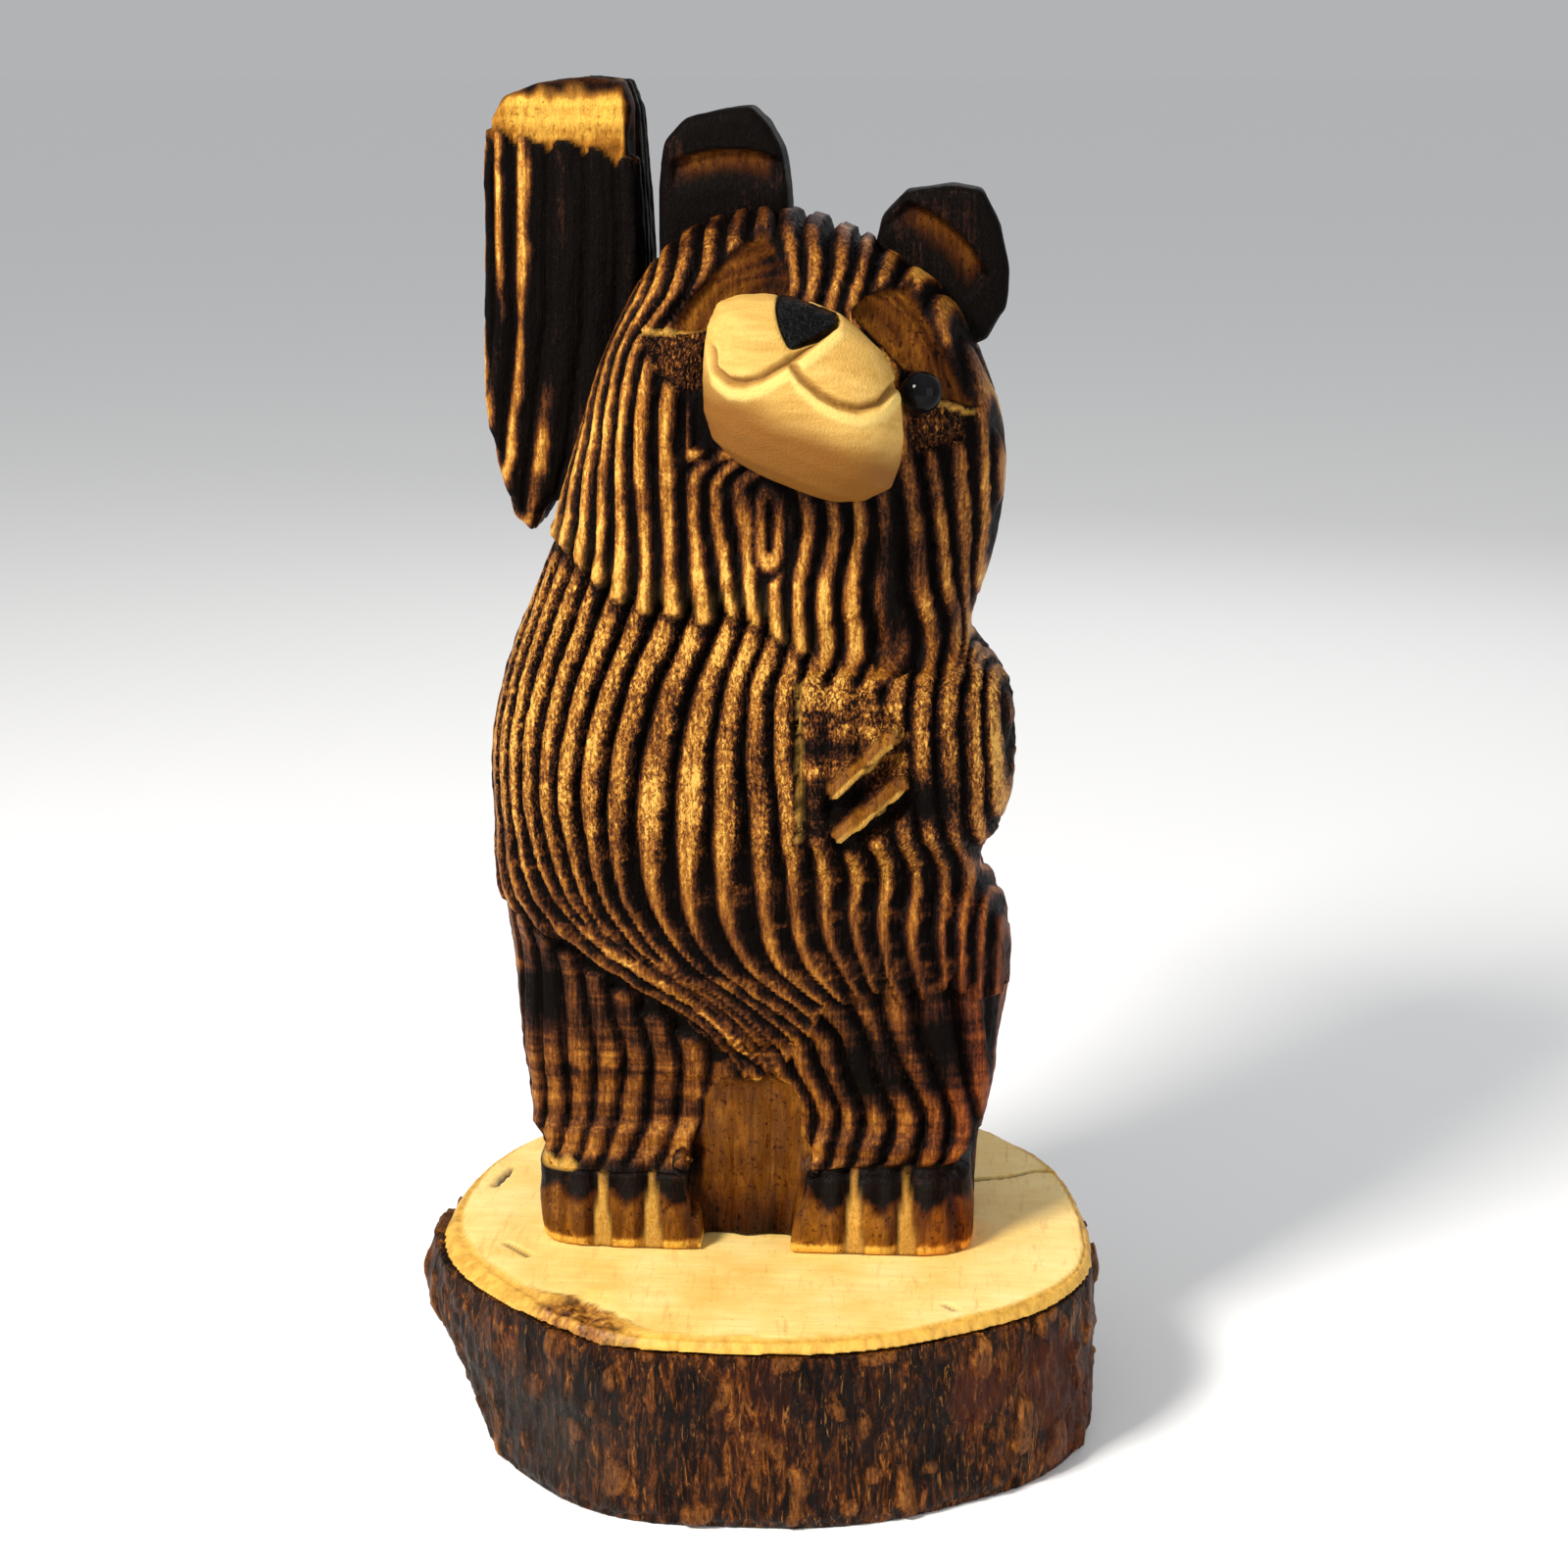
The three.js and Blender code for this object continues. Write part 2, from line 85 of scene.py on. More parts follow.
def line(points, value):
    """A polyline given as (place, height) pairs in rising order."""
    places, heights = zip(*points)
    return np.interp(value, places, heights)


def noise(points, scale, seed=0):
    """Smooth noise from -1 to 1, with about one bump per scale (one number, or one for each axis)."""
    scaled = points / np.asarray(scale, float) + 17.31 * (seed + 1)
    cell = np.floor(scaled).astype(np.int64)
    part = scaled - cell
    part = part * part * (3.0 - 2.0 * part)
    total = np.zeros(len(points))
    for corner in itertools.product((0, 1), repeat=3):
        place = cell + np.array(corner)
        mixed = place[:, 0] * 73856093 ^ place[:, 1] * 19349663 ^ place[:, 2] * 83492791
        mixed = (mixed ^ (mixed >> 13)) * 1274126177 & 0x7FFFFFFF
        value = ((mixed ^ (mixed >> 15)) & 0xFFFF) / 32767.5 - 1.0
        weight = np.prod(np.where(corner, part, 1.0 - part), axis=1)
        total += weight * value
    return total


def inside(points, x, z):
    """How far inside a convex outline of (x, z) corners each place is, in millimetres."""
    depth = np.full(len(x), 1e9)
    corners = np.array(points, float)
    middle = corners.mean(axis=0)
    for a, b in zip(corners, np.roll(corners, -1, axis=0)):
        along = (b - a) / np.linalg.norm(b - a)
        side = np.array([-along[1], along[0]])
        if np.dot(middle - a, side) < 0:
            side = -side
        depth = np.minimum(depth, (x - a[0]) * side[0] + (z - a[1]) * side[1])
    return depth


def bar(start, end, x, z):
    """Distance from the middle line of a straight cut."""
    a, b = np.array(start, float), np.array(end, float)
    run = b - a
    t = np.clip(((x - a[0]) * run[0] + (z - a[1]) * run[1]) / run.dot(run), 0, 1)
    return np.hypot(x - a[0] - t * run[0], z - a[1] - t * run[1])


# ---- Growth rings: where the numbered ridges cross each level of the front ----

TORSO = ((-10, -8, -6, -4, -2, 0, 2, 4, 6, 8, 10), (
    (285, (-72, -54, -40, -20, -1, 14, 24, 34, 45, 57, 66)),
    (258, (-75, -64, -48, -30, -10, 5, 17, 30, 44, 57, 64)),
    (240, (-80, -69, -53, -35, -15, 0, 16, 32, 47, 60, 68)),
    (220, (-83, -72, -57, -38, -17, 0, 18, 36, 48, 61, 70)),
    (200, (-83, -72, -58, -40, -17, 3, 20, 38, 50, 61, 71)),
    (180, (-81, -67, -54, -40, -19, 3, 20, 37, 52, 63, 72)),
    (170, (-77, -61, -51, -38, -20, 3, 20, 36, 53, 64, 72)),
    (160, (-71, -51, -44, -33, -18, 4, 22, 37, 53, 64, 73)),
    (150, (-60, -38, -32, -25, -12, 7, 26, 38, 54, 64, 73)),
    (140, (-42, -24, -19, -11, 1, 19, 31, 42, 55, 64, 73)),
    (130, (-24, -12, -8, 0, 14, 27, 36, 45, 55, 64, 73)),
    (115, (-12, -4, 0, 8, 17, 30, 39, 48, 56, 64, 72)),
))
RIGHT_LEG = ((-2, -1, 0, 1, 2, 3, 4), (
    (145, (2, 12, 27, 38, 48, 60, 70)),
    (130, (14, 23, 32, 39, 50, 62, 70)),
    (115, (17, 26, 35, 45, 54, 63, 70)),
    (103, (23, 31, 41, 50, 58, 65, 70)),
    (90, (22, 30, 40, 50, 58, 65, 70)),
    (60, (20, 30, 39, 49, 57, 64, 70)),
))
LEFT_LEG = ((0, 1, 2, 3, 4, 5, 6), (
    (160, (-76, -68, -61, -52, -42, -32, -20)),
    (135, (-76, -66, -58, -50, -42, -33, -21)),
    (118, (-76, -67, -57, -47, -38, -29, -19)),
    (102, (-75, -66, -57, -50, -42, -31, -22)),
    (60, (-74, -66, -57, -49, -40, -31, -22)),
))
HEAD = ((0, 1, 2, 3, 4, 5, 6, 7, 8, 9, 10, 11, 12, 13, 14, 15), (
    (375, (-34, -27, -20, -14, -7, -1, 7, 15, 25, 32, 38, 44, 50, 56, 62, 68)),
    (362, (-38, -31, -23, -15, -8, 2, 9, 15, 23, 29, 35, 41, 47, 52, 58, 64)),
    (350, (-42, -36, -28, -20, -10, 2, 9, 14, 20, 25, 31, 38, 46, 52, 57, 62)),
    (335, (-50, -45, -39, -32, -24, -12, 2, 12, 20, 28, 36, 44, 50, 56, 61, 66)),
    (320, (-54, -47, -41, -35, -27, -18, -6, 6, 18, 28, 38, 46, 53, 60, 65, 69)),
    (300, (-56, -49, -43, -36, -28, -20, -12, 2, 16, 28, 41, 49, 55, 62, 66, 70)),
))
NECK = ((0, 1, 2, 3, 4, 5, 6, 7, 8, 9, 10, 11, 12, 13, 14, 15, 16, 17, 18), (
    (315, (-54, -48, -42, -36, -27, -19, -14, -8, 0, 9, 18, 27, 35, 41, 48, 54, 61, 65, 69)),
    (300, (-56, -49, -43, -36, -28, -20, -14, -8, 1, 10, 18, 26, 34, 41, 49, 55, 62, 66, 70)),
    (285, (-56, -49, -43, -36, -29, -22, -16, -9, 1, 11, 19, 27, 34, 42, 50, 56, 62, 66, 70)),
    (270, (-59, -51, -44, -36, -29, -21, -13, -6, 2, 9, 16, 24, 33, 43, 51, 57, 61, 64, 68)),
    (258, (-61, -53, -45, -36, -28, -18, -9, -3, 3, 10, 17, 24, 33, 45, 53, 58, 60, 63, 67)),
    (245, (-65, -56, -46, -36, -28, -15, -6, 0, 6, 12, 18, 25, 34, 47, 53, 58, 60, 62, 66)),
))


def level_curve(levels, column, z):
    """One ridge's x over the height, rounded off so that it bends without corners."""
    heights = [level[0] for level in levels][::-1]
    places = [level[1][column] for level in levels][::-1]
    fine = np.arange(heights[0] - 20.0, heights[-1] + 20.0, 1.0)
    window = np.hanning(15)
    rounded = np.convolve(np.interp(fine, heights, places), window / window.sum(), "valid")
    return np.interp(z, fine[7:-7], rounded)


def rings(grain, x, z):
    """Ring number and ring spacing (mm along x) at each place on the front."""
    numbers, levels = grain
    curves = [level_curve(levels, column, z) for column in range(len(numbers))]
    number = np.full(len(x), float(numbers[0]))
    spacing = np.full(len(x), RING_PITCH)
    for k in range(len(numbers) - 1):
        step = numbers[k + 1] - numbers[k]
        gap = np.maximum(curves[k + 1] - curves[k], 1.0)
        part = (x - curves[k]) / gap
        low = -9.0 if k == 0 else 0.0
        high = 9.0 if k == len(numbers) - 2 else 1.0
        number += step * np.clip(part, low, high)
        spacing = np.where((part > low) & (part <= high), gap / step, spacing)
    return number, spacing


def round_the_beam(x, y):
    """How the ring number changes from the front face to a depth, since the rings are curved."""
    here = np.hypot(x - PITH[0], y - PITH[1])
    front = np.hypot(x - PITH[0], FRONT - PITH[1])
    return (here - front) / RING_PITCH


def blend(amount, a, b):
    """a where the amount is 0, b where it is 1."""
    return a + (b - a) * amount


def across_ring(number):
    """Place within one ring: 0 on the crest, -0.5 and 0.5 in the grooves on its left and right."""
    return number - np.round(number)


def brushed(place, edge, shelf):
    """Relief across one ring, 0 to 1: a proud band up to an edge, then a burnt shelf, then the groove."""
    left = ramp(-0.5, -0.28, place)
    right = ramp(0.5, 0.36, place)
    band = ramp(edge + 0.09, edge - 0.05, place)
    return np.minimum(left, right) * (shelf + (1.0 - shelf) * band)


def golden(place, edge):
    """1 on the band that stays golden, 0 on the shelf and in the groove."""
    return ramp(-0.50, -0.20, place) * ramp(edge + 0.20, edge - 0.22, place)


# ---- Meshes ----

def fine_copy(node, name, voxel, smooth):
    """
    An even, dense copy of a CAD node's shape, ready to carve: voxel in millimetres, and how many
    times the faceted shape is smoothed.
    """
    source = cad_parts[node]
    draft = bpy.data.objects.new(name, source.data.copy())
    bpy.context.scene.collection.objects.link(draft)
    remesh = draft.modifiers.new("even", "REMESH")
    remesh.mode = "VOXEL"
    remesh.voxel_size = voxel * MM
    remesh.use_smooth_shade = True
    if smooth:
        relax = draft.modifiers.new("relax", "SMOOTH")
        relax.factor = 0.5
        relax.iterations = smooth
    mesh = bpy.data.meshes.new_from_object(draft.evaluated_get(bpy.context.evaluated_depsgraph_get()))
    draft.modifiers.clear()
    draft.data = mesh
    mesh.name = name
    mesh.materials.clear()
    return draft


def coordinates(piece):
    """Vertex places in millimetres, and unit normals."""
    mesh = piece.data
    places = np.empty(len(mesh.vertices) * 3, np.float32)
    mesh.vertices.foreach_get("co", places)
    normals = np.empty(len(mesh.vertices) * 3, np.float32)
    mesh.vertex_normals.foreach_get("vector", normals)
    return places.reshape(-1, 3).astype(float) / MM, normals.reshape(-1, 3).astype(float)


def move(piece, places):
    """Puts vertices at new places in millimetres."""
    piece.data.vertices.foreach_set("co", (places * MM).astype(np.float32).ravel())
    piece.data.update()


def attribute(piece, name, values):
    """A number for each vertex, which the piece's material reads."""
    layer = piece.data.attributes.new(name, "FLOAT", "POINT")
    layer.data.foreach_set("value", np.clip(values, 0.0, 1.0).astype(np.float32))


def finish_piece(piece, material, slot, *nodes):
    """Dresses a piece in its material, shades it smooth, hangs it under the root and hides the CAD nodes it
    stands in for.
    """
    piece.data.materials.clear()
    piece.data.materials.append(material)
    for polygon in piece.data.polygons:
        polygon.use_smooth = True
    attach(piece, "root")
    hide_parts(*nodes)


def calm(points, margin=2.0):
    """0 near the hidden dowels and screws, 1 elsewhere, so that carving leaves their holes alone."""
    keep = np.ones(len(points))
    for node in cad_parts:
        if "dowel" not in node and "screw" not in node:
            continue
        low, high = (np.array(corner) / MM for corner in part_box(node))
        within = np.all((points > low - margin) & (points < high + margin), axis=1)
        keep[within] = 0.0
    return keep


# ---- Materials ----

class Shader:
    """A material's node tree, with one short call for each kind of node."""

    def __init__(self, name):
        self.material = bpy.data.materials.new(name)
        self.material.use_nodes = True
        self.tree = self.material.node_tree
        self.surface = self.tree.nodes["Principled BSDF"]
        self.place = self.node("ShaderNodeTexCoord").outputs["Object"]

    def node(self, kind, **settings):
        made = self.tree.nodes.new(kind)
        for name, value in settings.items():
            setattr(made, name, value)
        return made

    def feed(self, socket, value):
        if isinstance(value, bpy.types.NodeSocket):
            self.tree.links.new(value, socket)
        elif isinstance(value, tuple) and len(value) == 3 and socket.type == "RGBA":
            socket.default_value = (*value, 1.0)
        else:
            socket.default_value = value

    def read(self, name):
        return self.node("ShaderNodeAttribute", attribute_name=name).outputs["Fac"]

    def stretch(self, scale):
        mapping = self.node("ShaderNodeMapping")
        self.feed(mapping.inputs["Vector"], self.place)
        mapping.inputs["Scale"].default_value = scale
        return mapping.outputs["Vector"]

    def noise(self, size, detail=3.0, rough=0.5, stretch=(1, 1, 1), twist=0.0):
        """Noise from 0 to 1 with bumps of about this size in millimetres."""
        texture = self.node("ShaderNodeTexNoise")
        self.feed(texture.inputs["Vector"], self.stretch(stretch))
        texture.inputs["Scale"].default_value = 1000.0 / size
        texture.inputs["Detail"].default_value = detail
        texture.inputs["Roughness"].default_value = rough
        texture.inputs["Distortion"].default_value = twist
        return texture.outputs["Fac"]

    def cells(self, size, stretch=(1, 1, 1)):
        """Distance to the nearest of scattered points, about this size apart in millimetres."""
        texture = self.node("ShaderNodeTexVoronoi")
        self.feed(texture.inputs["Vector"], self.stretch(stretch))
        texture.inputs["Scale"].default_value = 1000.0 / size
        return texture.outputs["Distance"]

    def math(self, kind, a, b=0.0):
        made = self.node("ShaderNodeMath", operation=kind)
        self.feed(made.inputs[0], a)
        self.feed(made.inputs[1], b)
        return made.outputs[0]

    def span(self, value, low, high, to_low=0.0, to_high=1.0):
        made = self.node("ShaderNodeMapRange")
        self.feed(made.inputs["Value"], value)
        made.inputs["From Min"].default_value = low
        made.inputs["From Max"].default_value = high
        made.inputs["To Min"].default_value = to_low
        made.inputs["To Max"].default_value = to_high
        return made.outputs["Result"]

    def colours(self, value, *stops):
        made = self.node("ShaderNodeValToRGB")
        self.feed(made.inputs["Fac"], value)
        elements = made.color_ramp.elements
        while len(elements) < len(stops):
            elements.new(0.5)
        for element, (place, colour) in zip(elements, stops):
            element.position = place
            element.color = (*colour, 1.0)
        return made.outputs["Color"]

    def mix(self, amount, a, b, blend="MIX"):
        made = self.node("ShaderNodeMix", data_type="RGBA", blend_type=blend)
        self.feed(made.inputs["Factor"], amount)
        self.feed(made.inputs[6], a)
        self.feed(made.inputs[7], b)
        return made.outputs[2]

    def bump(self, height, depth, strength=1.0):
        """Surface relief, depth in millimetres; calls add up."""
        made = self.node("ShaderNodeBump")
        made.inputs["Strength"].default_value = strength
        made.inputs["Distance"].default_value = depth * MM
        self.feed(made.inputs["Height"], height)
        if self.surface.inputs["Normal"].is_linked:
            self.tree.links.new(self.surface.inputs["Normal"].links[0].from_socket, made.inputs["Normal"])
        self.tree.links.new(made.outputs["Normal"], self.surface.inputs["Normal"])

    def set(self, **values):
        names = {"colour": "Base Color", "rough": "Roughness", "metal": "Metallic",
                 "gloss": "Specular IOR Level"}
        for name, value in values.items():
            self.feed(self.surface.inputs[names[name]], value)


BLACK = (0.002, 0.0008, 0.0004)
SCORCHED = (0.026, 0.006, 0.001)
BROWN = (0.13, 0.036, 0.003)
HONEY = (0.36, 0.135, 0.012)
GOLD = (0.74, 0.41, 0.075)
PALE = (0.84, 0.50, 0.11)


def burnt_wood(name):
    """Burnt and wire-brushed fir: black grooves, golden bands with fuzzy edges, scorched bars."""
    shader = Shader(name)
    gold = shader.read("gold")
    fuzzy = shader.read("fuzz")
    cut = shader.read("cut")
    hair = shader.noise(0.9, 3.0, 0.7, (1.0, 1.0, 0.55), 0.8)
    fibre = shader.noise(1.0, 3.0, 0.6, (1.0, 1.0, 0.05))
    bars = shader.noise(6.0, 3.0, 0.65, (0.12, 0.12, 1.0))
    patches = shader.noise(16.0, 3.0, 0.55)
    speckle = shader.math("MULTIPLY", shader.span(hair, 0.32, 0.68, -0.55, 0.38), fuzzy)
    height = shader.math("ADD", gold, speckle)
    height = shader.math("ADD", height, shader.span(patches, 0.3, 0.7, -0.16, 0.10))
    height = shader.math("ADD", height, shader.span(fibre, 0.3, 0.7, -0.16, 0.12))
    barred = shader.math("MULTIPLY", shader.span(bars, 0.40, 0.62, 0.0, 0.45), shader.read("bars"))
    height = shader.math("ADD", height, barred)
    wood = shader.colours(height, (0.15, BLACK), (0.36, SCORCHED), (0.58, BROWN),
                          (0.80, HONEY), (1.0, GOLD))
    grain = shader.noise(3.0, 4.0, 0.6, (1.0, 1.0, 0.16), 1.6)
    tone = shader.math("ADD", shader.read("tone"), shader.span(grain, 0.3, 0.7, -0.13, 0.13))
    tone = shader.math("ADD", tone, shader.span(patches, 0.3, 0.7, -0.10, 0.08))
    specks = shader.noise(1.5, 2.0, 0.5)
    tone = shader.math("ADD", tone, shader.span(specks, 0.60, 0.70, 0.0, -0.22))
    smooth = shader.colours(tone, (0.05, (0.003, 0.001, 0.0005)), (0.30, (0.05, 0.012, 0.001)),
                            (0.50, (0.12, 0.038, 0.003)), (0.70, (0.28, 0.10, 0.008)),
                            (1.0, (0.78, 0.45, 0.065)))
    wood = shader.mix(cut, wood, smooth)
    pores = shader.mix(shader.span(hair, 0.35, 0.65), (0.60, 0.27, 0.03), PALE)
    # Pale bare wood showing, and painted highlights on the claw cuts and the bib's edge.
    wood = shader.mix(shader.read("pale"), wood, pores)
    # Painted shade with a reddish cast of light, where the mask says.
    wood = shader.mix(shader.read("red_light_cast"), wood, (1.0, 0.50, 0.30), "MULTIPLY")
    shader.set(colour=wood, rough=shader.span(height, 0.0, 1.0, 0.55, 0.38),
               gloss=shader.span(height, 0.1, 0.8, 0.05, 0.18))
    shader.bump(fibre, 0.40, 0.8)
    rough_part = shader.math("MULTIPLY", hair, shader.span(fuzzy, 0.0, 1.0, 0.25, 1.0))
    shader.bump(rough_part, 1.2, 1.0)
    return shader.material


def pale_wood():
    """Bare sanded softwood with faint arcs of grain and fine saw marks."""
    shader = Shader("pale_wood")
    fibre = shader.noise(1.2, 3.0, 0.6, (0.12, 1.0, 1.0))
    arcs = shader.noise(5.0, 3.0, 0.5, (0.10, 0.7, 1.0), 0.8)
    pores = shader.noise(0.7, 2.0, 0.7)
    tone = shader.math("ADD", shader.span(arcs, 0.3, 0.7, 0.0, 0.6), shader.span(fibre, 0.3, 0.7, 0.0, 0.4))
    wood = shader.colours(tone, (0.1, (0.48, 0.27, 0.055)), (0.5, (0.58, 0.34, 0.080)),
                          (0.9, (0.66, 0.41, 0.110)))
    # Painted shade on the muzzle's underside.
    wood = shader.mix(shader.math("MULTIPLY", shader.read("under"), 0.92), wood, (0.17, 0.055, 0.003))
    # Painted shade in the mouth's grooves, and a painted highlight on the lip below each.
    wood = shader.mix(shader.math("MULTIPLY", shader.read("groove"), 0.85), wood, (0.16, 0.055, 0.006))
    wood = shader.mix(shader.math("MULTIPLY", shader.read("lip"), 0.6), wood, (0.86, 0.62, 0.19))
    shader.set(colour=wood, rough=0.55, gloss=0.15)
    shader.bump(pores, 0.5, 0.9)
    shader.bump(fibre, 0.2, 0.4)
    return shader.material


def nose_black():
    """Rough black paint that glints."""
    shader = Shader("nose_black")
    grit = shader.noise(1.0, 2.0, 0.7)
    shader.set(colour=shader.colours(grit, (0.4, (0.001, 0.001, 0.001)), (0.75, (0.008, 0.008, 0.008))),
               rough=0.26, gloss=0.06)
    shader.bump(grit, 0.9, 1.0)
    return shader.material


def bead_black():
    """Glossy black bead."""
    shader = Shader("bead_black")
    haze = shader.noise(6.0, 2.0, 0.5)
    shader.set(colour=shader.colours(haze, (0.4, (0.002, 0.002, 0.003)), (0.7, (0.005, 0.005, 0.006))),
               rough=0.04, gloss=0.08)
    return shader.material


def slice_wood():
    """The slice: pale sawn end grain on top, a darker debarked bevel round it."""
    shader = Shader("slice_wood")
    bevel = shader.read("bevel")
    ragged = shader.read("ragged")
    saw = shader.noise(1.6, 3.0, 0.6, (0.10, 1.0, 1.0), 0.3)
    scratch = shader.noise(2.2, 3.0, 0.7, (1.0, 0.14, 1.0), 0.5)
    stain = shader.noise(26.0, 4.0, 0.6)
    speck = shader.cells(3.4)
    top = shader.colours(stain, (0.3, (0.82, 0.51, 0.12)), (0.52, (0.90, 0.64, 0.21)),
                         (0.72, (0.94, 0.74, 0.31)))
    top = shader.mix(shader.span(saw, 0.4, 0.7, 0.0, 0.35), top, (0.76, 0.45, 0.11))
    top = shader.mix(shader.span(scratch, 0.56, 0.72, 0.0, 0.5), top, (0.60, 0.31, 0.07))
    top = shader.mix(shader.span(speck, 0.05, 0.12, 0.5, 0.0), top, (0.25, 0.11, 0.03))
    top = shader.mix(shader.read("crack"), top, (0.03, 0.012, 0.004))
    peel = shader.noise(4.0, 4.0, 0.65, (1.0, 1.0, 0.25))
    clean = shader.colours(peel, (0.3, (0.46, 0.23, 0.025)), (0.6, (0.74, 0.42, 0.065)))
    torn = shader.colours(peel, (0.38, (0.05, 0.014, 0.002)), (0.5, (0.30, 0.11, 0.012)),
                          (0.68, (0.66, 0.35, 0.055)))
    side = shader.mix(ragged, clean, torn)
    shader.set(colour=shader.mix(bevel, top, side), rough=0.5, gloss=0.35)
    shader.bump(saw, 0.25, 0.5)
    shader.bump(shader.math("MULTIPLY", peel, bevel), 1.0, 0.8)
    return shader.material


def bark():
    """Varnished bark, near black, its fibres reddish brown where it has flaked, with a painted reddish cast
    of light and a painted grey sheen over it.
    """
    shader = Shader("bark")
    streaks = shader.noise(2.6, 5.0, 0.7, (1.0, 1.0, 0.22), 1.0)
    patches = shader.noise(15.0, 4.0, 0.6, (1.0, 1.0, 0.6), 0.5)
    fine = shader.noise(1.1, 3.0, 0.7, (1.0, 1.0, 0.4))
    pits = shader.cells(4.6, (1.0, 1.0, 0.7))
    streaked = shader.span(streaks, 0.36, 0.66, 0.0, 0.62)
    patchy = shader.span(patches, 0.35, 0.65, 0.0, 0.38)
    tone = shader.math("ADD", streaked, patchy)
    tone = shader.math("ADD", tone, shader.span(fine, 0.3, 0.7, -0.12, 0.12))
    tone = shader.math("ADD", tone, shader.math("MULTIPLY", shader.read("flake"), 0.16))
    wood = shader.colours(tone, (0.26, (0.003, 0.001, 0.0006)), (0.50, (0.024, 0.006, 0.001)),
                          (0.72, (0.11, 0.028, 0.003)), (0.90, (0.28, 0.090, 0.012)),
                          (1.0, (0.44, 0.19, 0.040)))
    threads = shader.noise(1.3, 3.0, 0.65, (1.0, 1.0, 0.12), 1.2)
    wood = shader.mix(shader.span(threads, 0.60, 0.70, 0.0, 0.75), wood, (0.42, 0.16, 0.030))
    wood = shader.mix(shader.span(pits, 0.10, 0.20, 0.9, 0.0), wood, (0.003, 0.001, 0.001))
    flake = shader.math("MULTIPLY", shader.read("flake"), shader.span(fine, 0.35, 0.65, 0.1, 0.75))
    wood = shader.mix(flake, wood, (0.26, 0.085, 0.014))
    # Painted reddish cast of light on the right side.
    wood = shader.mix(shader.math("MULTIPLY", shader.read("red_light_cast"), 0.5), wood, (0.085, 0.014, 0.003))
    # Painted grey sheen of light on the front left.
    wood = shader.mix(shader.math("MULTIPLY", shader.read("grey_sheen"), 0.65), wood, (0.030, 0.026, 0.022))
    shader.set(colour=wood, rough=shader.span(fine, 0.3, 0.7, 0.5, 0.3), gloss=0.12)
    shader.bump(streaks, 2.4, 1.0)
    shader.bump(fine, 0.9, 0.9)
    return shader.material


def dowel_wood():
    """Plain turned dowel."""
    shader = Shader("dowel_wood")
    fibre = shader.noise(1.4, 3.0, 0.6, (1.0, 1.0, 0.15))
    shader.set(colour=shader.colours(fibre, (0.3, (0.46, 0.29, 0.12)), (0.7, (0.62, 0.43, 0.20))),
               rough=0.6)
    shader.bump(fibre, 0.15, 0.5)
    return shader.material


def screw_steel():
    """Zinc-plated steel with fine turning marks."""
    shader = Shader("screw_steel")
    marks = shader.noise(0.8, 2.0, 0.5, (0.2, 0.2, 1.0))
    shader.set(colour=shader.colours(marks, (0.3, (0.42, 0.43, 0.46)), (0.7, (0.60, 0.61, 0.64))),
               rough=shader.span(marks, 0.3, 0.7, 0.28, 0.45), metal=1.0)
    shader.bump(marks, 0.05, 0.5)
    return shader.material


# ---- Body ----

LEFT_BROW = ((-35, 339), (-27, 347), (-10, 361), (-3, 370), (2, 367), (8, 357), (8, 348), (-13, 342))
RIGHT_BROW = ((26, 346), (35, 353), (43, 354), (50, 341), (62, 319), (50, 322), (38, 333))
LEFT_SOCKET = ((-34, 339), (-12, 343), (-12, 325), (-22, 323), (-31, 329))
RIGHT_SOCKET = ((41, 322), (50, 321), (61, 317), (58, 309), (45, 306))
MUZZLE_SLOT = ((-19.0, 331), (-8, 331), (-8, 307), (-20.0, 307))
PALE_EDGES = (((-34, 339.5), (-16, 341.5)), ((50, 321), (61, 317)), ((11.8, 193), (11.8, 240)))
CLAWS = (((22, 210), (38, 225)), ((24, 197), (41, 211.5)))
PAW = ((12, 240), (30, 240), (44, 226), (44, 206), (38, 195), (12, 195))
BIB = ((-70, 284), (-56, 277), (-50, 271), (-43, 265), (-33, 261), (-26, 261), (-17, 258), (-9, 261),
       (0, 258), (9, 252), (20, 246), (40, 241), (52, 244), (75, 246))
HEM = ((-90, 170), (-78, 166), (-66, 160), (-50, 151), (-37, 142), (-25, 133), (-12, 122), (-2, 113),
       (8, 108))
FOLD = ((-2, 113), (6, 119), (12, 128), (20, 141), (28, 142), (36, 146), (44, 142), (56, 147), (64, 143),
        (80, 141))
TOE_GAPS = (-49.0, -33.5, 28.5, 44.5)
TOE_ENDS = (-49.0, -33.5, -19.0, 28.5, 44.5, 62.0)


THROAT = (2.5, 284.0)               # middle of the oval under the chin
OVAL_RADIUS = 5.2                   # half its width, where the arches over it begin
OVAL_SLIT = 6.0                     # half the length of the slit in its middle
OVAL_STRETCH = 1.8                  # how far its ends are drawn out past the slit


def oval_radius(x, z):
    """Distance from the middle of the throat's oval, counted across it."""
    past_slit = np.maximum(abs(z - THROAT[1]) - OVAL_SLIT, 0.0)
    return np.hypot(x - THROAT[0], past_slit / OVAL_STRETCH)


def arch_over_throat(x, z):
    """x for looking up the neck's rings, so that they bend into arches over the oval."""
    across = x - THROAT[0]
    rise = 1.5 * np.maximum(z - THROAT[1] - 10.0, 0.0) * ramp(34, 20, abs(across))
    return THROAT[0] + np.where(across < 0, -1.0, 1.0) * np.hypot(across, rise)


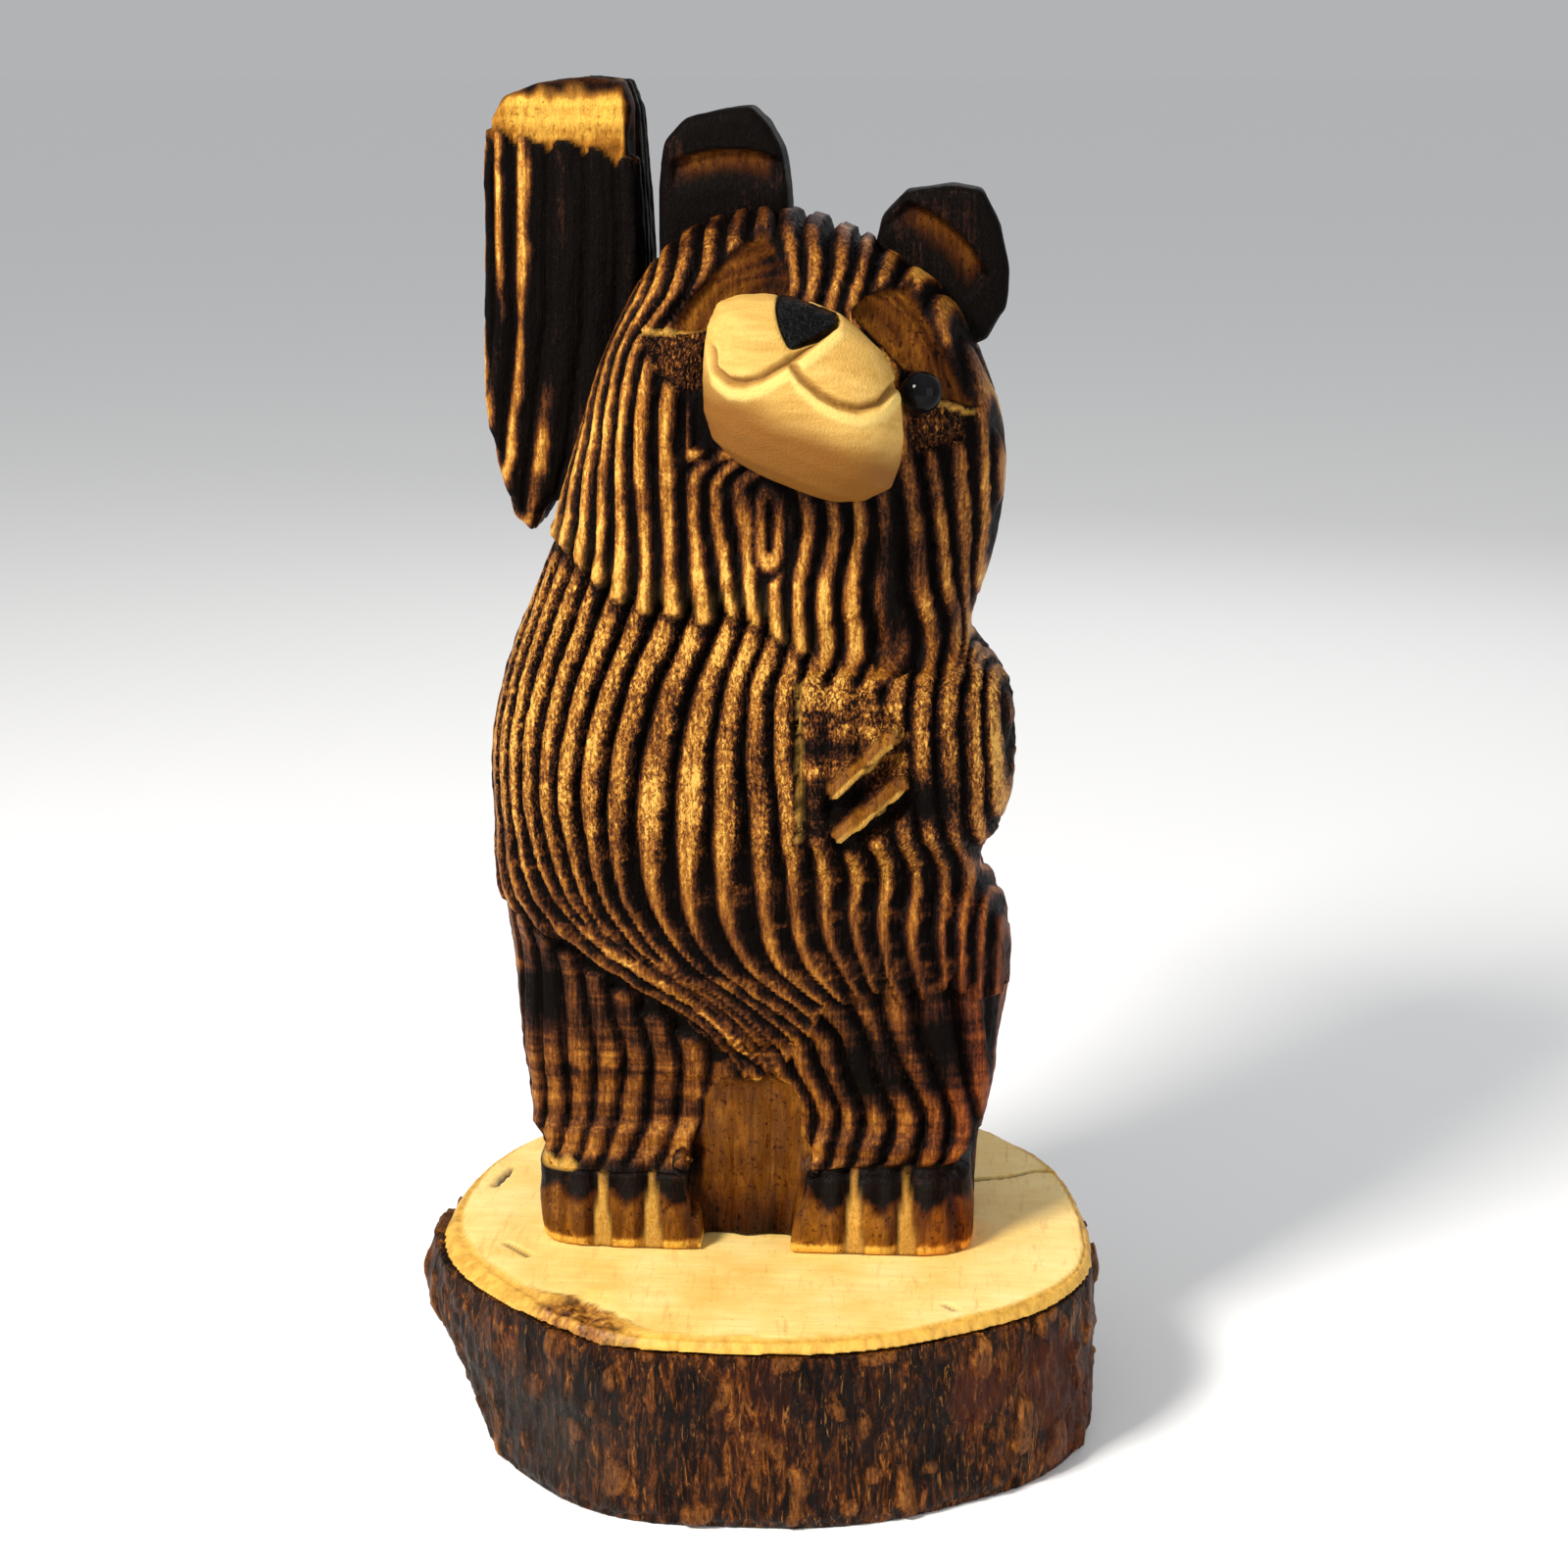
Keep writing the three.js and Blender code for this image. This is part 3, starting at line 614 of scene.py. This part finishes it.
def body_relief(points):
    """Carving depth (mm, outwards) and the colour masks of the body at each point."""
    x, y, z = points.T
    front = ramp(4.0, -12.0, y)
    slow = noise(points, (26, 26, 60), 1)
    wobble = 0.16 * slow + 0.05 * noise(points, (7, 7, 16), 2)
    ragged = noise(points, (3.0, 3.0, 2.4), 3)
    turn = round_the_beam(x, y) * ramp(366, 348, z) + wobble

    torso, torso_gap = rings(TORSO, x, z)
    crown, crown_gap = rings(HEAD, x, z)
    neck, neck_gap = rings(NECK, arch_over_throat(x, z), z)
    left, left_gap = rings(LEFT_LEG, x, z)
    right, right_gap = rings(RIGHT_LEG, x, z)

    # Torso: broad fuzzy bands above, narrow rods beside burnt shelves below.
    lower = ramp(208, 172, z)
    edge = 0.34 - 0.24 * lower + 0.07 * ragged + 0.06 * slow
    torso_place = across_ring(torso + turn)
    torso_height = brushed(torso_place, edge, 0.62 - 0.17 * lower)
    torso_gold = golden(torso_place, edge)

    # Where the rings run together along the hem they merge into a few strands.
    hem = z - line(HEM, x)
    strand_place = across_ring(hem / 8.0 + 0.1 * slow)
    merging = ramp(4.6, 3.0, torso_gap) * ramp(26, 14, hem) * ramp(14, 4, x) * front
    torso_height = torso_height * (1 - merging) + merging * brushed(strand_place, 0.4, 0.6)
    torso_gold = torso_gold * (1 - merging) + merging * golden(strand_place, 0.4)

    # Head and bib, with the nested ovals of the throat.
    below = ramp(306, 300, z)
    head_edge = 0.24 + 0.07 * ragged + 0.08 * slow
    crown_place = across_ring(crown + turn)
    neck_place = across_ring(neck + turn)
    oval = oval_radius(x, z)
    oval_place = across_ring(oval / OVAL_RADIUS - 0.5 + 0.6 * wobble)
    throat = ramp(OVAL_RADIUS + 0.8, OVAL_RADIUS - 0.8, oval) * front
    neck_height = blend(throat, brushed(neck_place, head_edge, 0.5), brushed(oval_place, 0.30, 0.6))
    neck_gold = blend(throat, golden(neck_place, head_edge), golden(oval_place, 0.30))
    head_height = blend(below, brushed(crown_place, head_edge, 0.5), neck_height)
    head_gold = blend(below, golden(crown_place, head_edge), neck_gold)
    head_gap = blend(below, crown_gap, neck_gap)

    # Legs: flat columns, cut off in steps under the hem on the left.
    left_place = across_ring(left + turn)
    left_height = brushed(left_place, 0.36, 0.7)
    left_gold = golden(left_place, 0.36)
    column_top = 158.0 - COLUMN_STEP * np.round(left + turn) + 1.5 * ragged
    # Recess under the hem, above each column's top; it is painted near black there as shadow.
    shaded_under_hem = ramp(-0.8, 0.8, z - column_top)
    right_place = across_ring(right + turn)
    right_height = brushed(right_place, 0.25, 0.62)
    right_gold = golden(right_place, 0.25)

    bib_line = line(BIB, x) - 5.0 * (head_height - 0.5) * front
    in_head = ramp(-1.0, 1.0, z - bib_line)
    in_left = ramp(1.0, -1.0, hem) * ramp(-6, -12, x)
    fold = z - line(FOLD, x) + 5.0 * (torso_height - 0.5) * front
    in_right = ramp(1.0, -1.0, fold) * ramp(-6, 2, x)
    in_torso = (1 - in_head) * (1 - in_left) * (1 - in_right)

    height = (torso_height * in_torso + head_height * in_head + left_height * in_left
              + right_height * in_right)
    gold = torso_gold * in_torso + head_gold * in_head + left_gold * in_left + right_gold * in_right
    gap = torso_gap * in_torso + head_gap * in_head + left_gap * in_left + right_gap * in_right
    depth = RIDGE_DEPTH * np.clip(gap / CREST_NARROWING, 0.45, 1.0)
    depth = depth * (1 - 0.25 * in_left)

    # Carved facets and the shallow gap between the legs have no ridges.
    brow = np.maximum(inside(LEFT_BROW, x, z), inside(RIGHT_BROW, x, z))
    brow_cut = ramp(-0.8, 0.5, brow) * front
    socket = np.maximum(inside(LEFT_SOCKET, x, z), inside(RIGHT_SOCKET, x, z))
    socket = ramp(-0.8, 0.8, socket) * front * (1 - brow_cut)
    arch = np.maximum(abs(x + 3.5) - 15.5, z - 114 + 9 * (abs(x + 3.5) / 15.5) ** 4)
    leg_gap = ramp(0.5, -1.0, arch) * ramp(-29, -27, y) * front
    claws = np.minimum(bar(*CLAWS[0], x, z), bar(*CLAWS[1], x, z))
    claw = ramp(2.9, 2.3, claws) * front
    below_claw = np.minimum(bar(*CLAWS[0], x, z + 5.5), bar(*CLAWS[1], x, z + 5.5))
    below_claw = ramp(4.2, 2.6, below_claw) * front * (1 - claw)
    paw = ramp(-0.8, 0.8, inside(PAW, x, z)) * front * (1 - claw)
    toe = ramp(90, 88, z) * front * (1 - leg_gap)
    notch = ramp(84.0, 86.0, z) * ramp(94.5, 91.0, z) * front * (1 - leg_gap)
    wedge = 0.5 + 2.1 * ramp(88, 62, z)
    between = np.max([ramp(wedge + 0.5, wedge - 0.4, abs(x - place)) for place in TOE_GAPS], axis=0)
    between = between * toe
    # Each toe's right side: scooped, and painted darker there as shadow.
    shaded_toe_side = np.max([ramp(6.5, 2.5, place - x) * (x < place) for place in TOE_ENDS], axis=0)
    shaded_toe_side = shaded_toe_side * toe * (1 - between)
    slot = ramp(-0.6, 0.6, inside(MUZZLE_SLOT, x, z)) * front
    smooth = np.maximum.reduce([brow_cut, leg_gap, claw, between, toe, slot, 0.8 * socket, 0.6 * paw])

    offset = -depth * (1 - height) * (1 - smooth)
    proud = ramp(44, 6, z - bib_line) * in_head * ramp(22, 6, x) * front
    offset += BIB_LIFT * proud
    offset += 1.8 * in_torso * ramp(26, 3, hem) * ramp(10, -4, x) * front
    offset -= 3.2 * in_left * shaded_under_hem * ramp(-16, -22, x) * front
    offset -= 2.8 * in_right * ramp(14, 22, x) * ramp(-34, -3, fold) * front
    offset -= BROW_DEPTH * brow_cut + SOCKET_DEPTH * socket
    offset += 1.6 * claw - 3.4 * below_claw - 3.0 * slot
    sleeve = ramp(11, 13, x) * ramp(243, 240.5, z) * ramp(188, 192, z) * front
    offset += 1.8 * sleeve - 2.2 * paw
    offset -= 3.2 * notch + 0.8 * between
    scoop = ramp(66, 83, z + 1.5 * ragged) * toe * (1 - between)
    offset -= 2.4 * scoop + 2.2 * shaded_toe_side
    fuzz = np.clip(ramp(150, 215, z) * ramp(0.02, 0.22, torso_place - edge + 0.24) * in_torso, 0, 1)
    offset += (0.15 + 0.45 * fuzz) * noise(points, (2.0, 2.0, 2.4), 5) * (1 - smooth) * (1 - merging)
    offset += 0.30 * noise(points, (30, 30, 3.5), 6) * (1 - smooth) * ramp(200, 150, z)
    scratch = in_left * ramp(100, 106, z) * ramp(127, 121, z)
    offset += 0.5 * scratch * noise(points, (14, 14, 1.8), 8)

    # Where the flame went, and painted shade and light: darker low down and on the legs, lighter on the
    # bib.
    # Painted shade: the bands get darker towards the bottom and on both legs under the belly. They also get
    # darker towards the back.
    low = ramp(215, 130, z)
    level = 0.86 - 0.12 * low - 0.12 * ramp(0, 30, y) - 0.28 * in_left - 0.20 * in_right
    # Painted highlight: the proud bib is made lighter.
    level = level + 0.16 * proud + 0.11 * noise(points, (14, 14, 26), 9)
    level = level - 0.25 * in_head * ramp(0.0, 0.7, noise(points, (7, 7, 22), 10)) * (1 - proud)
    level = level - 0.35 * ramp(362, 372, z) * in_head
    # Darker patches, a knot at (-67, 139), and a painted shadow under the muzzle round (6, 296).
    dark_patches_and_shadow = (0.60 * spot(x, z, (54, 128), (9, 13)) + 0.6 * spot(x, z, (38, 118), (5, 10))
            + 0.55 * spot(x, z, (-67, 139), (6, 9)) + 0.55 * spot(x, z, (30, 118), (5, 10))
            + 0.35 * spot(x, z, (-52, 127), (18, 5)) + 0.8 * spot(x, z, (48, 206), (11, 7))
            + 0.35 * spot(x, z, (6, 296), (20, 10)) + 0.6 * spot(x, z, (38, 270), (3, 22)))
    shadow = ramp(-7, -1, z - bib_line) * (1 - in_head) * ramp(22, 6, x) * front
    # Painted shadows: near black under the hem on the left leg, darker under the bib.
    gold = gold * np.clip(level - dark_patches_and_shadow * front, 0, 1) * (1 - shaded_under_hem * in_left) * (1 - 0.55 * shadow)
    gold = gold * (1 - brow_cut) * (1 - 0.75 * paw) * (1 - 0.9 * below_claw) * (1 - 0.95 * slot)
    bars = (torso_place > edge) * in_torso * lower + 0.5 * in_right + 0.6 * in_left + 0.7 * paw
    stippled = socket + paw * ramp(222, 228, z)
    gold = gold * (1 - socket) + 0.40 * socket
    gold = gold + 0.35 * paw * ramp(222, 228, z) + 0.30 * paw * ramp(212, 214, z) * ramp(221, 219, z)
    cut = np.maximum.reduce([brow_cut, leg_gap, claw, toe * (1 - between)])
    tone = 0.44 * brow_cut + 0.47 * leg_gap + 0.60 * claw + 0.56 * toe * (1 - between) * (1 - leg_gap)
    arched = 2.5 * np.cos((x + 56.5) * 2 * math.pi / 15.5)
    # Black band at the top of each toe; painted shadow on each toe's right side.
    tone = tone - 0.75 * ramp(75, 81, z + arched + 1.5 * ragged) * toe - 0.30 * shaded_toe_side
    tone = tone + 0.45 * toe * ramp(64.5, 62.5, z + 0.6 * ragged)
    # Painted shade at the right end of the left brow.
    tone = tone - 0.30 * brow_cut * spot(x, z, (3, 357), (6, 11))
    brow_rings = np.hypot(x - 14, z - 318) * 1.5 + 2.0 * noise(points, (12, 12, 12), 19)
    tone = tone + brow_cut * (0.09 * np.sin(brow_rings) - 0.25 * spot(x, z, (54, 334), (7, 8)))
    tone = tone - 0.25 * leg_gap * ramp(80, 62, z)
    # Painted highlight along the lower wall of each claw cut.
    lower_edge = np.minimum(bar(*CLAWS[0], x, z + 2.6), bar(*CLAWS[1], x, z + 2.6))
    lit_claw_edge = ramp(1.5, 0.8, lower_edge) * front
    pale = 0.62 * between * ramp(90, 80, z) + 0.8 * lit_claw_edge
    edges = np.min([bar(*edge_line, x, z) for edge_line in PALE_EDGES], axis=0)
    pale = pale + 0.75 * ramp(0.9, 0.3, edges) * ramp(-0.9, 0.2, ragged) * front
    pale = pale + 0.8 * ramp(-57, -59, x) * ramp(84, 85, z) * ramp(89.5, 88.5, z + ragged) * front
    # Painted highlight along the bib's proud lower edge.
    pale = pale + 0.15 * proud * ramp(12, 2, z - bib_line) * head_gold * (1 - throat)
    # Painted shade with a reddish cast of light, low on the right.
    red_light_cast = 0.75 * ramp(230, 120, z) * ramp(34, 70, x)
    fuzz = 0.20 + 0.16 * in_head + 0.48 * in_torso * ramp(165, 205, z) + 0.5 * fuzz + stippled
    fuzz = np.clip(fuzz, 0, 1)
    masks = {"gold": gold, "bars": bars, "fuzz": fuzz, "cut": cut, "tone": tone, "pale": pale,
             "red_light_cast": red_light_cast}
    return offset, masks


def make_body():
    piece = fine_copy("body", "carved_body", voxel=1.32, smooth=6)
    points, normals = coordinates(piece)
    offset, masks = body_relief(points)
    quiet = calm(points)
    flat = ramp(SLICE_TOP + 0.2, SLICE_TOP + 2.0, points[:, 2])
    move(piece, points + normals * (offset * quiet * flat)[:, None])
    for name, values in masks.items():
        attribute(piece, name, values)
    finish_piece(piece, burnt_wood("burnt_body"), "charred_wood", "body")


# ---- Raised arm and ears ----

def make_arm():
    piece = fine_copy("raised_arm", "carved_arm", voxel=0.95, smooth=6)
    points, normals = coordinates(piece)
    x, y, z = points.T
    ragged = noise(points, (3, 3, 6), 12)
    wobble = 0.20 * noise(points, (20, 20, 50), 11) + 0.07 * noise(points, (5, 5, 14), 15)
    lean = line(((270, -9), (300, -5), (340, -1), (400, 0)), z)
    number = (x - lean + 83) / line(((-86, 4.6), (-60, 8.0), (-36, 9)), x) + (y + 2) / 9.0 + wobble
    place = across_ring(number)
    height = brushed(place, 0.15 + 0.1 * ragged, 0.7)
    paw_edge = 388 + 3.5 * height + 3.0 * ramp(-62, -84, x) - 5.0 * ramp(-60, -38, x)
    paw = ramp(-0.6, 0.6, z - paw_edge) * ramp(12, 4, y)
    rim = ramp(402, 406, z + 2.5 * ragged) * paw + paw * ramp(-43, -40, x + ragged)
    offset = -ARM_RIDGE_DEPTH * (1 - height) * (1 - paw) - PAW_DEPTH * paw * ramp(404, 390, z)
    offset += 0.25 * noise(points, (2.2, 2.2, 3.5), 14)
    move(piece, points + normals * (offset * calm(points))[:, None])
    streak = ramp(-56, -72, x - lean) * ramp(20, 4, y)
    streak = streak * ramp(-0.55, 0.1, noise(points, (6, 9, 40), 17))
    worn = 0.38 * ramp(320, 300, z) * ramp(-0.1, 0.5, noise(points, (8, 8, 18), 16))
    gold = golden(place, 0.04 + 0.10 * ragged) * np.clip(0.85 * streak + worn + 0.12, 0, 1)
    attribute(piece, "gold", gold * (1 - paw))
    attribute(piece, "bars", 0.35 * ramp(330, 300, z))
    attribute(piece, "fuzz", 0.3 + 0 * x)
    attribute(piece, "cut", paw)
    arcs = noise(points, (60, 30, 1.6), 18)
    attribute(piece, "tone", 0.92 + 0.10 * arcs - 0.8 * np.clip(rim, 0, 1) - 0.28 * ramp(398, 388, z)
              - 0.22 * ramp(-70, -82, x))
    attribute(piece, "pale", 0.35 * paw * (1 - np.clip(rim, 0, 1)) * spot(x, z, (-60, 400), (16, 9)))
    attribute(piece, "red_light_cast", 0 * x)
    finish_piece(piece, burnt_wood("burnt_arm"), "charred_wood", "raised_arm")


def make_ear(node, name, slant, middle, seed):
    """An ear: a near-black block with one broad gouge across its face."""
    piece = fine_copy(node, name, voxel=0.8, smooth=16)
    points, normals = coordinates(piece)
    x, y, z = points.T
    across = (x - middle[0]) * math.cos(slant) + (z - middle[1]) * math.sin(slant)
    up = -(x - middle[0]) * math.sin(slant) + (z - middle[1]) * math.cos(slant)
    up = up + 0.012 * across ** 2
    face = ramp(1.0, -2.0, y)
    gouge = ramp(-9.0, 2.5, up) * ramp(3.2, 2.2, up) * ramp(16.5, 15.0, abs(across)) * face
    lip = ramp(2.2, 3.2, up) * face
    offset = -GOUGE_DEPTH * gouge + 0.3 * lip + 0.15 * noise(points, (6, 6, 9), seed)
    offset += 0.12 * noise(points, (1.8, 1.8, 3.0), seed + 1)
    move(piece, points + normals * (offset * calm(points))[:, None])
    attribute(piece, "gold", 0.10 + 0.10 * noise(points, (7, 7, 12), seed + 2))
    attribute(piece, "bars", 0 * x)
    attribute(piece, "fuzz", 0.25 + 0 * x)
    attribute(piece, "cut", gouge)
    attribute(piece, "tone", 0.40 * ramp(-8, 0, up) * ramp(16, 9, abs(across)))
    attribute(piece, "pale", 0 * x)
    attribute(piece, "red_light_cast", 0 * x)
    finish_piece(piece, burnt_wood(name + "_wood"), "charred_wood", node)


# ---- Muzzle, nose and eyes ----

MOUTH = (
    ((-11.5, 337), (-10.5, 332), (-6.5, 329.3), (-2, 329.2), (3, 330.8), (10.4, 335.1), (22.5, 344.5)),
    ((10.4, 335.3), (14.2, 330.2), (19, 326.2), (24, 323.5), (29.5, 322.2), (35, 323.5), (38.5, 327)),
)


def make_muzzle():
    piece = fine_copy("muzzle", "carved_muzzle", voxel=0.6, smooth=9)
    points, normals = coordinates(piece)
    x, y, z = points.T
    front = ramp(-44, -48, y)
    strokes = [bar(a, b, x, z) for path in MOUTH for a, b in zip(path, path[1:])]
    nearest = np.min(strokes, axis=0)
    # The mouth's grooves carry painted shade; the lips below them carry a painted highlight.
    groove = np.clip(1.0 - nearest / MOUTH_HALF_WIDTH, 0, 1) * front
    lip = np.min([bar((a[0] + 0.6, a[1] - 3.4), (b[0] + 0.6, b[1] - 3.4), x, z)
                  for path in MOUTH for a, b in zip(path, path[1:])], axis=0)
    lip = ramp(2.6, 0.6, lip) * front * (1 - ramp(0.0, 0.4, groove))
    offset = -MOUTH_DEPTH * groove + 0.45 * lip + 0.08 * noise(points, (6, 6, 2.0), 21)
    # Painted shade: the muzzle's underside, below a slanted line, is made darker.
    slope = z + 0.4 * (x - 13) - 324
    under = ramp(2.0, -12.0, slope + 1.5 * noise(points, (9, 9, 6), 22))
    move(piece, points + normals * (offset * calm(points))[:, None])
    attribute(piece, "groove", groove)
    attribute(piece, "lip", lip)
    attribute(piece, "under", under)
    finish_piece(piece, pale_wood(), "bare_wood", "muzzle")


def make_nose():
    piece = fine_copy("nose", "rough_nose", voxel=0.5, smooth=4)
    points, normals = coordinates(piece)
    offset = 0.22 * noise(points, 1.3, 31)
    move(piece, points + normals * offset[:, None])
    finish_piece(piece, nose_black(), "nose_black", "nose")


def make_eye(node, name, material):
    """A turned bead with its glue shank, lathed round the Y axis."""
    low, high = (np.array(corner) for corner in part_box(node))
    radius = (high[0] - low[0]) / 2
    centre = Vector(((low[0] + high[0]) / 2, low[1] + radius, (low[2] + high[2]) / 2))
    shank = 1.4 * MM
    profile = [(radius * math.sin(t), -radius * math.cos(t)) for t in np.linspace(0, math.pi - 0.24, 40)]
    profile += [(shank, high[1] - centre.y), (0.0, high[1] - centre.y)]
    mesh = bmesh.new()
    rows = []
    for r, y in profile:
        if r < 1e-6:
            rows.append([mesh.verts.new(centre + Vector((0, y, 0)))])
            continue
        turns = [2 * math.pi * i / BEAD_STEPS for i in range(BEAD_STEPS)]
        rows.append([mesh.verts.new(centre + Vector((r * math.cos(t), y, r * math.sin(t)))) for t in turns])
    for a, b in zip(rows, rows[1:]):
        for i in range(BEAD_STEPS):
            j = (i + 1) % BEAD_STEPS
            corners = [a[i % len(a)], a[j % len(a)], b[j % len(b)], b[i % len(b)]]
            mesh.faces.new(list(dict.fromkeys(corners)))
    bmesh.ops.recalc_face_normals(mesh, faces=mesh.faces)
    data = bpy.data.meshes.new(name)
    mesh.to_mesh(data)
    mesh.free()
    piece = bpy.data.objects.new(name, data)
    bpy.context.scene.collection.objects.link(piece)
    finish_piece(piece, material, "eye_bead", node)


# ---- Tree slice and bark ----

CRACKS = (((60, 22), (76, 26), (84, 31), (95, 33)), ((-90, 8), (-87, 22)), ((57, -69), (60, -72)),
          ((-79, -36), (-71, -44)))


def rim_gap(points):
    """How far inside the top's edge each place is, seen from above, in millimetres."""
    x, y, z = points.T
    angle, radius = np.arctan2(y, x), np.hypot(x, y)
    sector = np.floor((angle / (2 * math.pi) + 0.5) * RIM_SECTORS).astype(int) % RIM_SECTORS
    on_top = z > SLICE_TOP - 0.6
    edge = np.zeros(RIM_SECTORS)
    np.maximum.at(edge, sector[on_top], radius[on_top])
    middles = ((np.arange(RIM_SECTORS) + 0.5) / RIM_SECTORS - 0.5) * 2 * math.pi
    return np.interp(angle, middles, edge, period=2 * math.pi) - radius


def make_slice():
    piece = fine_copy("base_slice", "slice", voxel=1.1, smooth=2)
    points, normals = coordinates(piece)
    x, y, z = points.T
    top = ramp(SLICE_TOP - 1.0, SLICE_TOP - 0.3, z)
    side = ramp(40, 44, z) * (1 - top)
    ragged = spot(x, y, (-50, -86), (15, 18))
    rough = 0.25 + 0.9 * ragged
    torn_edge = 14.0 * ragged * (1 + 0.6 * noise(points, (5, 5, 5), 49))
    band = 1.6 + 0.9 * noise(points, (12, 12, 12), 48) + torn_edge
    bevelled = ramp(band + 0.6, band - 0.6, rim_gap(points)) * ramp(40, 44, z)
    offset = side * rough * (0.7 * noise(points, (6, 6, 5), 41) + 0.5 * noise(points, (2.2, 2.2, 4), 42))
    offset += top * (0.10 * noise(points, (16, 2.5, 3), 43) + 0.10 * noise(points, (40, 40, 9), 45))
    splinter = top * ramp(0.25, 0.6, ragged) * ramp(0.0, 0.3, noise(points, (5, 9, 9), 46))
    offset -= 0.9 * splinter + 1.3 * top * ramp(band, 0.0, rim_gap(points))
    offset += 1.5 * bevelled * ragged * noise(points, (3.4, 3.4, 3.4), 40)
    width = 0.8 + 0.4 * noise(points, 5, 44)
    cracks = [bar(a, b, x, y) for path in CRACKS for a, b in zip(path, path[1:])]
    crack = ramp(width + 0.5, width - 0.3, np.min(cracks, axis=0)) * ramp(SLICE_TOP - 4, SLICE_TOP - 3, z)
    offset -= CRACK_DEPTH * crack
    under = ramp(1.0, 3.0, z)
    move(piece, points + normals * (offset * calm(points) * under)[:, None])
    attribute(piece, "bevel", np.maximum(side, bevelled))
    attribute(piece, "ragged", 1.6 * ragged + 0.25 * noise(points, (9, 9, 9), 47))
    attribute(piece, "crack", crack)
    finish_piece(piece, slice_wood(), "slice_wood", "base_slice")


def make_bark():
    piece = fine_copy("base_bark", "bark_ring", voxel=1.1, smooth=2)
    points, normals = coordinates(piece)
    x, y, z = points.T
    outward = (normals[:, 0] * x + normals[:, 1] * y) / np.hypot(x, y)
    outside = ramp(0.2, 0.7, outward)
    warp = points + 3.0 * np.stack([noise(points, 9, 54 + k) for k in range(3)], axis=1)
    furrow = 1.0 - abs(noise(warp, (7, 7, 26), 51))
    flake = ramp(0.38, 0.55, noise(warp, (5.5, 5.5, 10), 52))
    offset = outside * (1.7 * furrow - 1.8 + 1.1 * flake + 0.6 * noise(points, (2.2, 2.2, 5.0), 53))
    knot = np.exp(-((x + 99) ** 2 + (y + 20) ** 2) / 20 ** 2 - ((z - 44) / 15) ** 2)
    offset += outside * KNOT_HEIGHT * knot
    floor = ramp(0.3, 2.0, z)
    move(piece, points + normals * (offset * floor)[:, None])
    attribute(piece, "flake", flake)
    # Painted reddish cast of light on the bark's right side.
    attribute(piece, "red_light_cast", ramp(-30, 60, x) * ramp(0.0, 0.5, noise(points, (14, 14, 22), 55)))
    # Painted grey sheen of light on the bark's front left.
    attribute(piece, "grey_sheen", spot(x, z, (-62, 24), (26, 18)) * ramp(0, -20, y))
    finish_piece(piece, bark(), "bark", "base_bark")


# ---- Stage ----

def make_stage():
    floor_mesh = bpy.data.meshes.new("floor")
    half = FLOOR_HALF
    corners = [(-half, -half, 0), (half, -half, 0), (half, half, 0), (-half, half, 0)]
    floor_mesh.from_pydata(corners, [], [(0, 1, 2, 3)])
    floor = bpy.data.objects.new("floor", floor_mesh)
    bpy.context.scene.collection.objects.link(floor)
    shader = Shader("floor_paper")
    shader.set(colour=(0.985, 0.99, 0.99), rough=0.9)
    floor_mesh.materials.append(shader.material)


def add_light(name, place, target, size, power, colour=(1, 1, 1)):
    data = bpy.data.lights.new(name, "AREA")
    data.size = size
    data.energy = power
    data.color = colour
    lamp = bpy.data.objects.new(name, data)
    lamp.location = place
    lamp.rotation_euler = (Vector(target) - Vector(place)).to_track_quat("-Z", "Y").to_euler()
    bpy.context.scene.collection.objects.link(lamp)


def make_lights():
    world = bpy.data.worlds.new("studio")
    world.use_nodes = True
    world.node_tree.nodes["Background"].inputs["Color"].default_value = (0.93, 0.94, 0.96, 1.0)
    world.node_tree.nodes["Background"].inputs["Strength"].default_value = 0.48
    bpy.context.scene.world = world
    middle = (0, 0, 0.22)
    add_light("key", (-0.75, -0.85, 1.15), middle, 0.35, 32.0, (1.0, 0.96, 0.90))
    add_light("fill", (1.1, -0.9, 0.5), middle, 0.9, 5.0)
    add_light("back", (0.3, 1.2, 0.9), middle, 0.8, 2.5)


def make_camera():
    """The viewing angle: a little right of the front, just above the raised arm, looking down."""
    data = bpy.data.cameras.new("camera")
    data.lens = 62.07
    data.sensor_width = 36.0
    camera = bpy.data.objects.new("camera", data)
    place = Vector((0.0603, -0.7981, 0.4167))
    target = Vector((0.0045, 0.0, 0.1991))
    camera.location = place
    camera.rotation_euler = (target - place).to_track_quat("-Z", "Y").to_euler()
    bpy.context.scene.collection.objects.link(camera)
    bpy.context.scene.camera = camera


def dress_hidden_nodes():
    """Materials for the CAD nodes that stay: the dowels and the screws."""
    dowel, screw = dowel_wood(), screw_steel()
    for node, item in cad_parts.items():
        if "dowel" in node or "screw" in node:
            for slot in item.material_slots:
                slot.material = dowel if "dowel" in node else screw


bpy.context.scene.view_settings.view_transform = "Standard"
make_camera()
make_stage()
make_lights()
make_body()
make_arm()
make_ear("left_ear", "carved_left_ear", 0.03, (-12.0, 386.0), 61)
make_ear("right_ear", "carved_right_ear", -0.72, (52.0, 364.0), 71)
make_muzzle()
make_nose()
bead = bead_black()
make_eye("left_eye", "bead_left", bead)
make_eye("right_eye", "bead_right", bead)
make_slice()
make_bark()
dress_hidden_nodes()
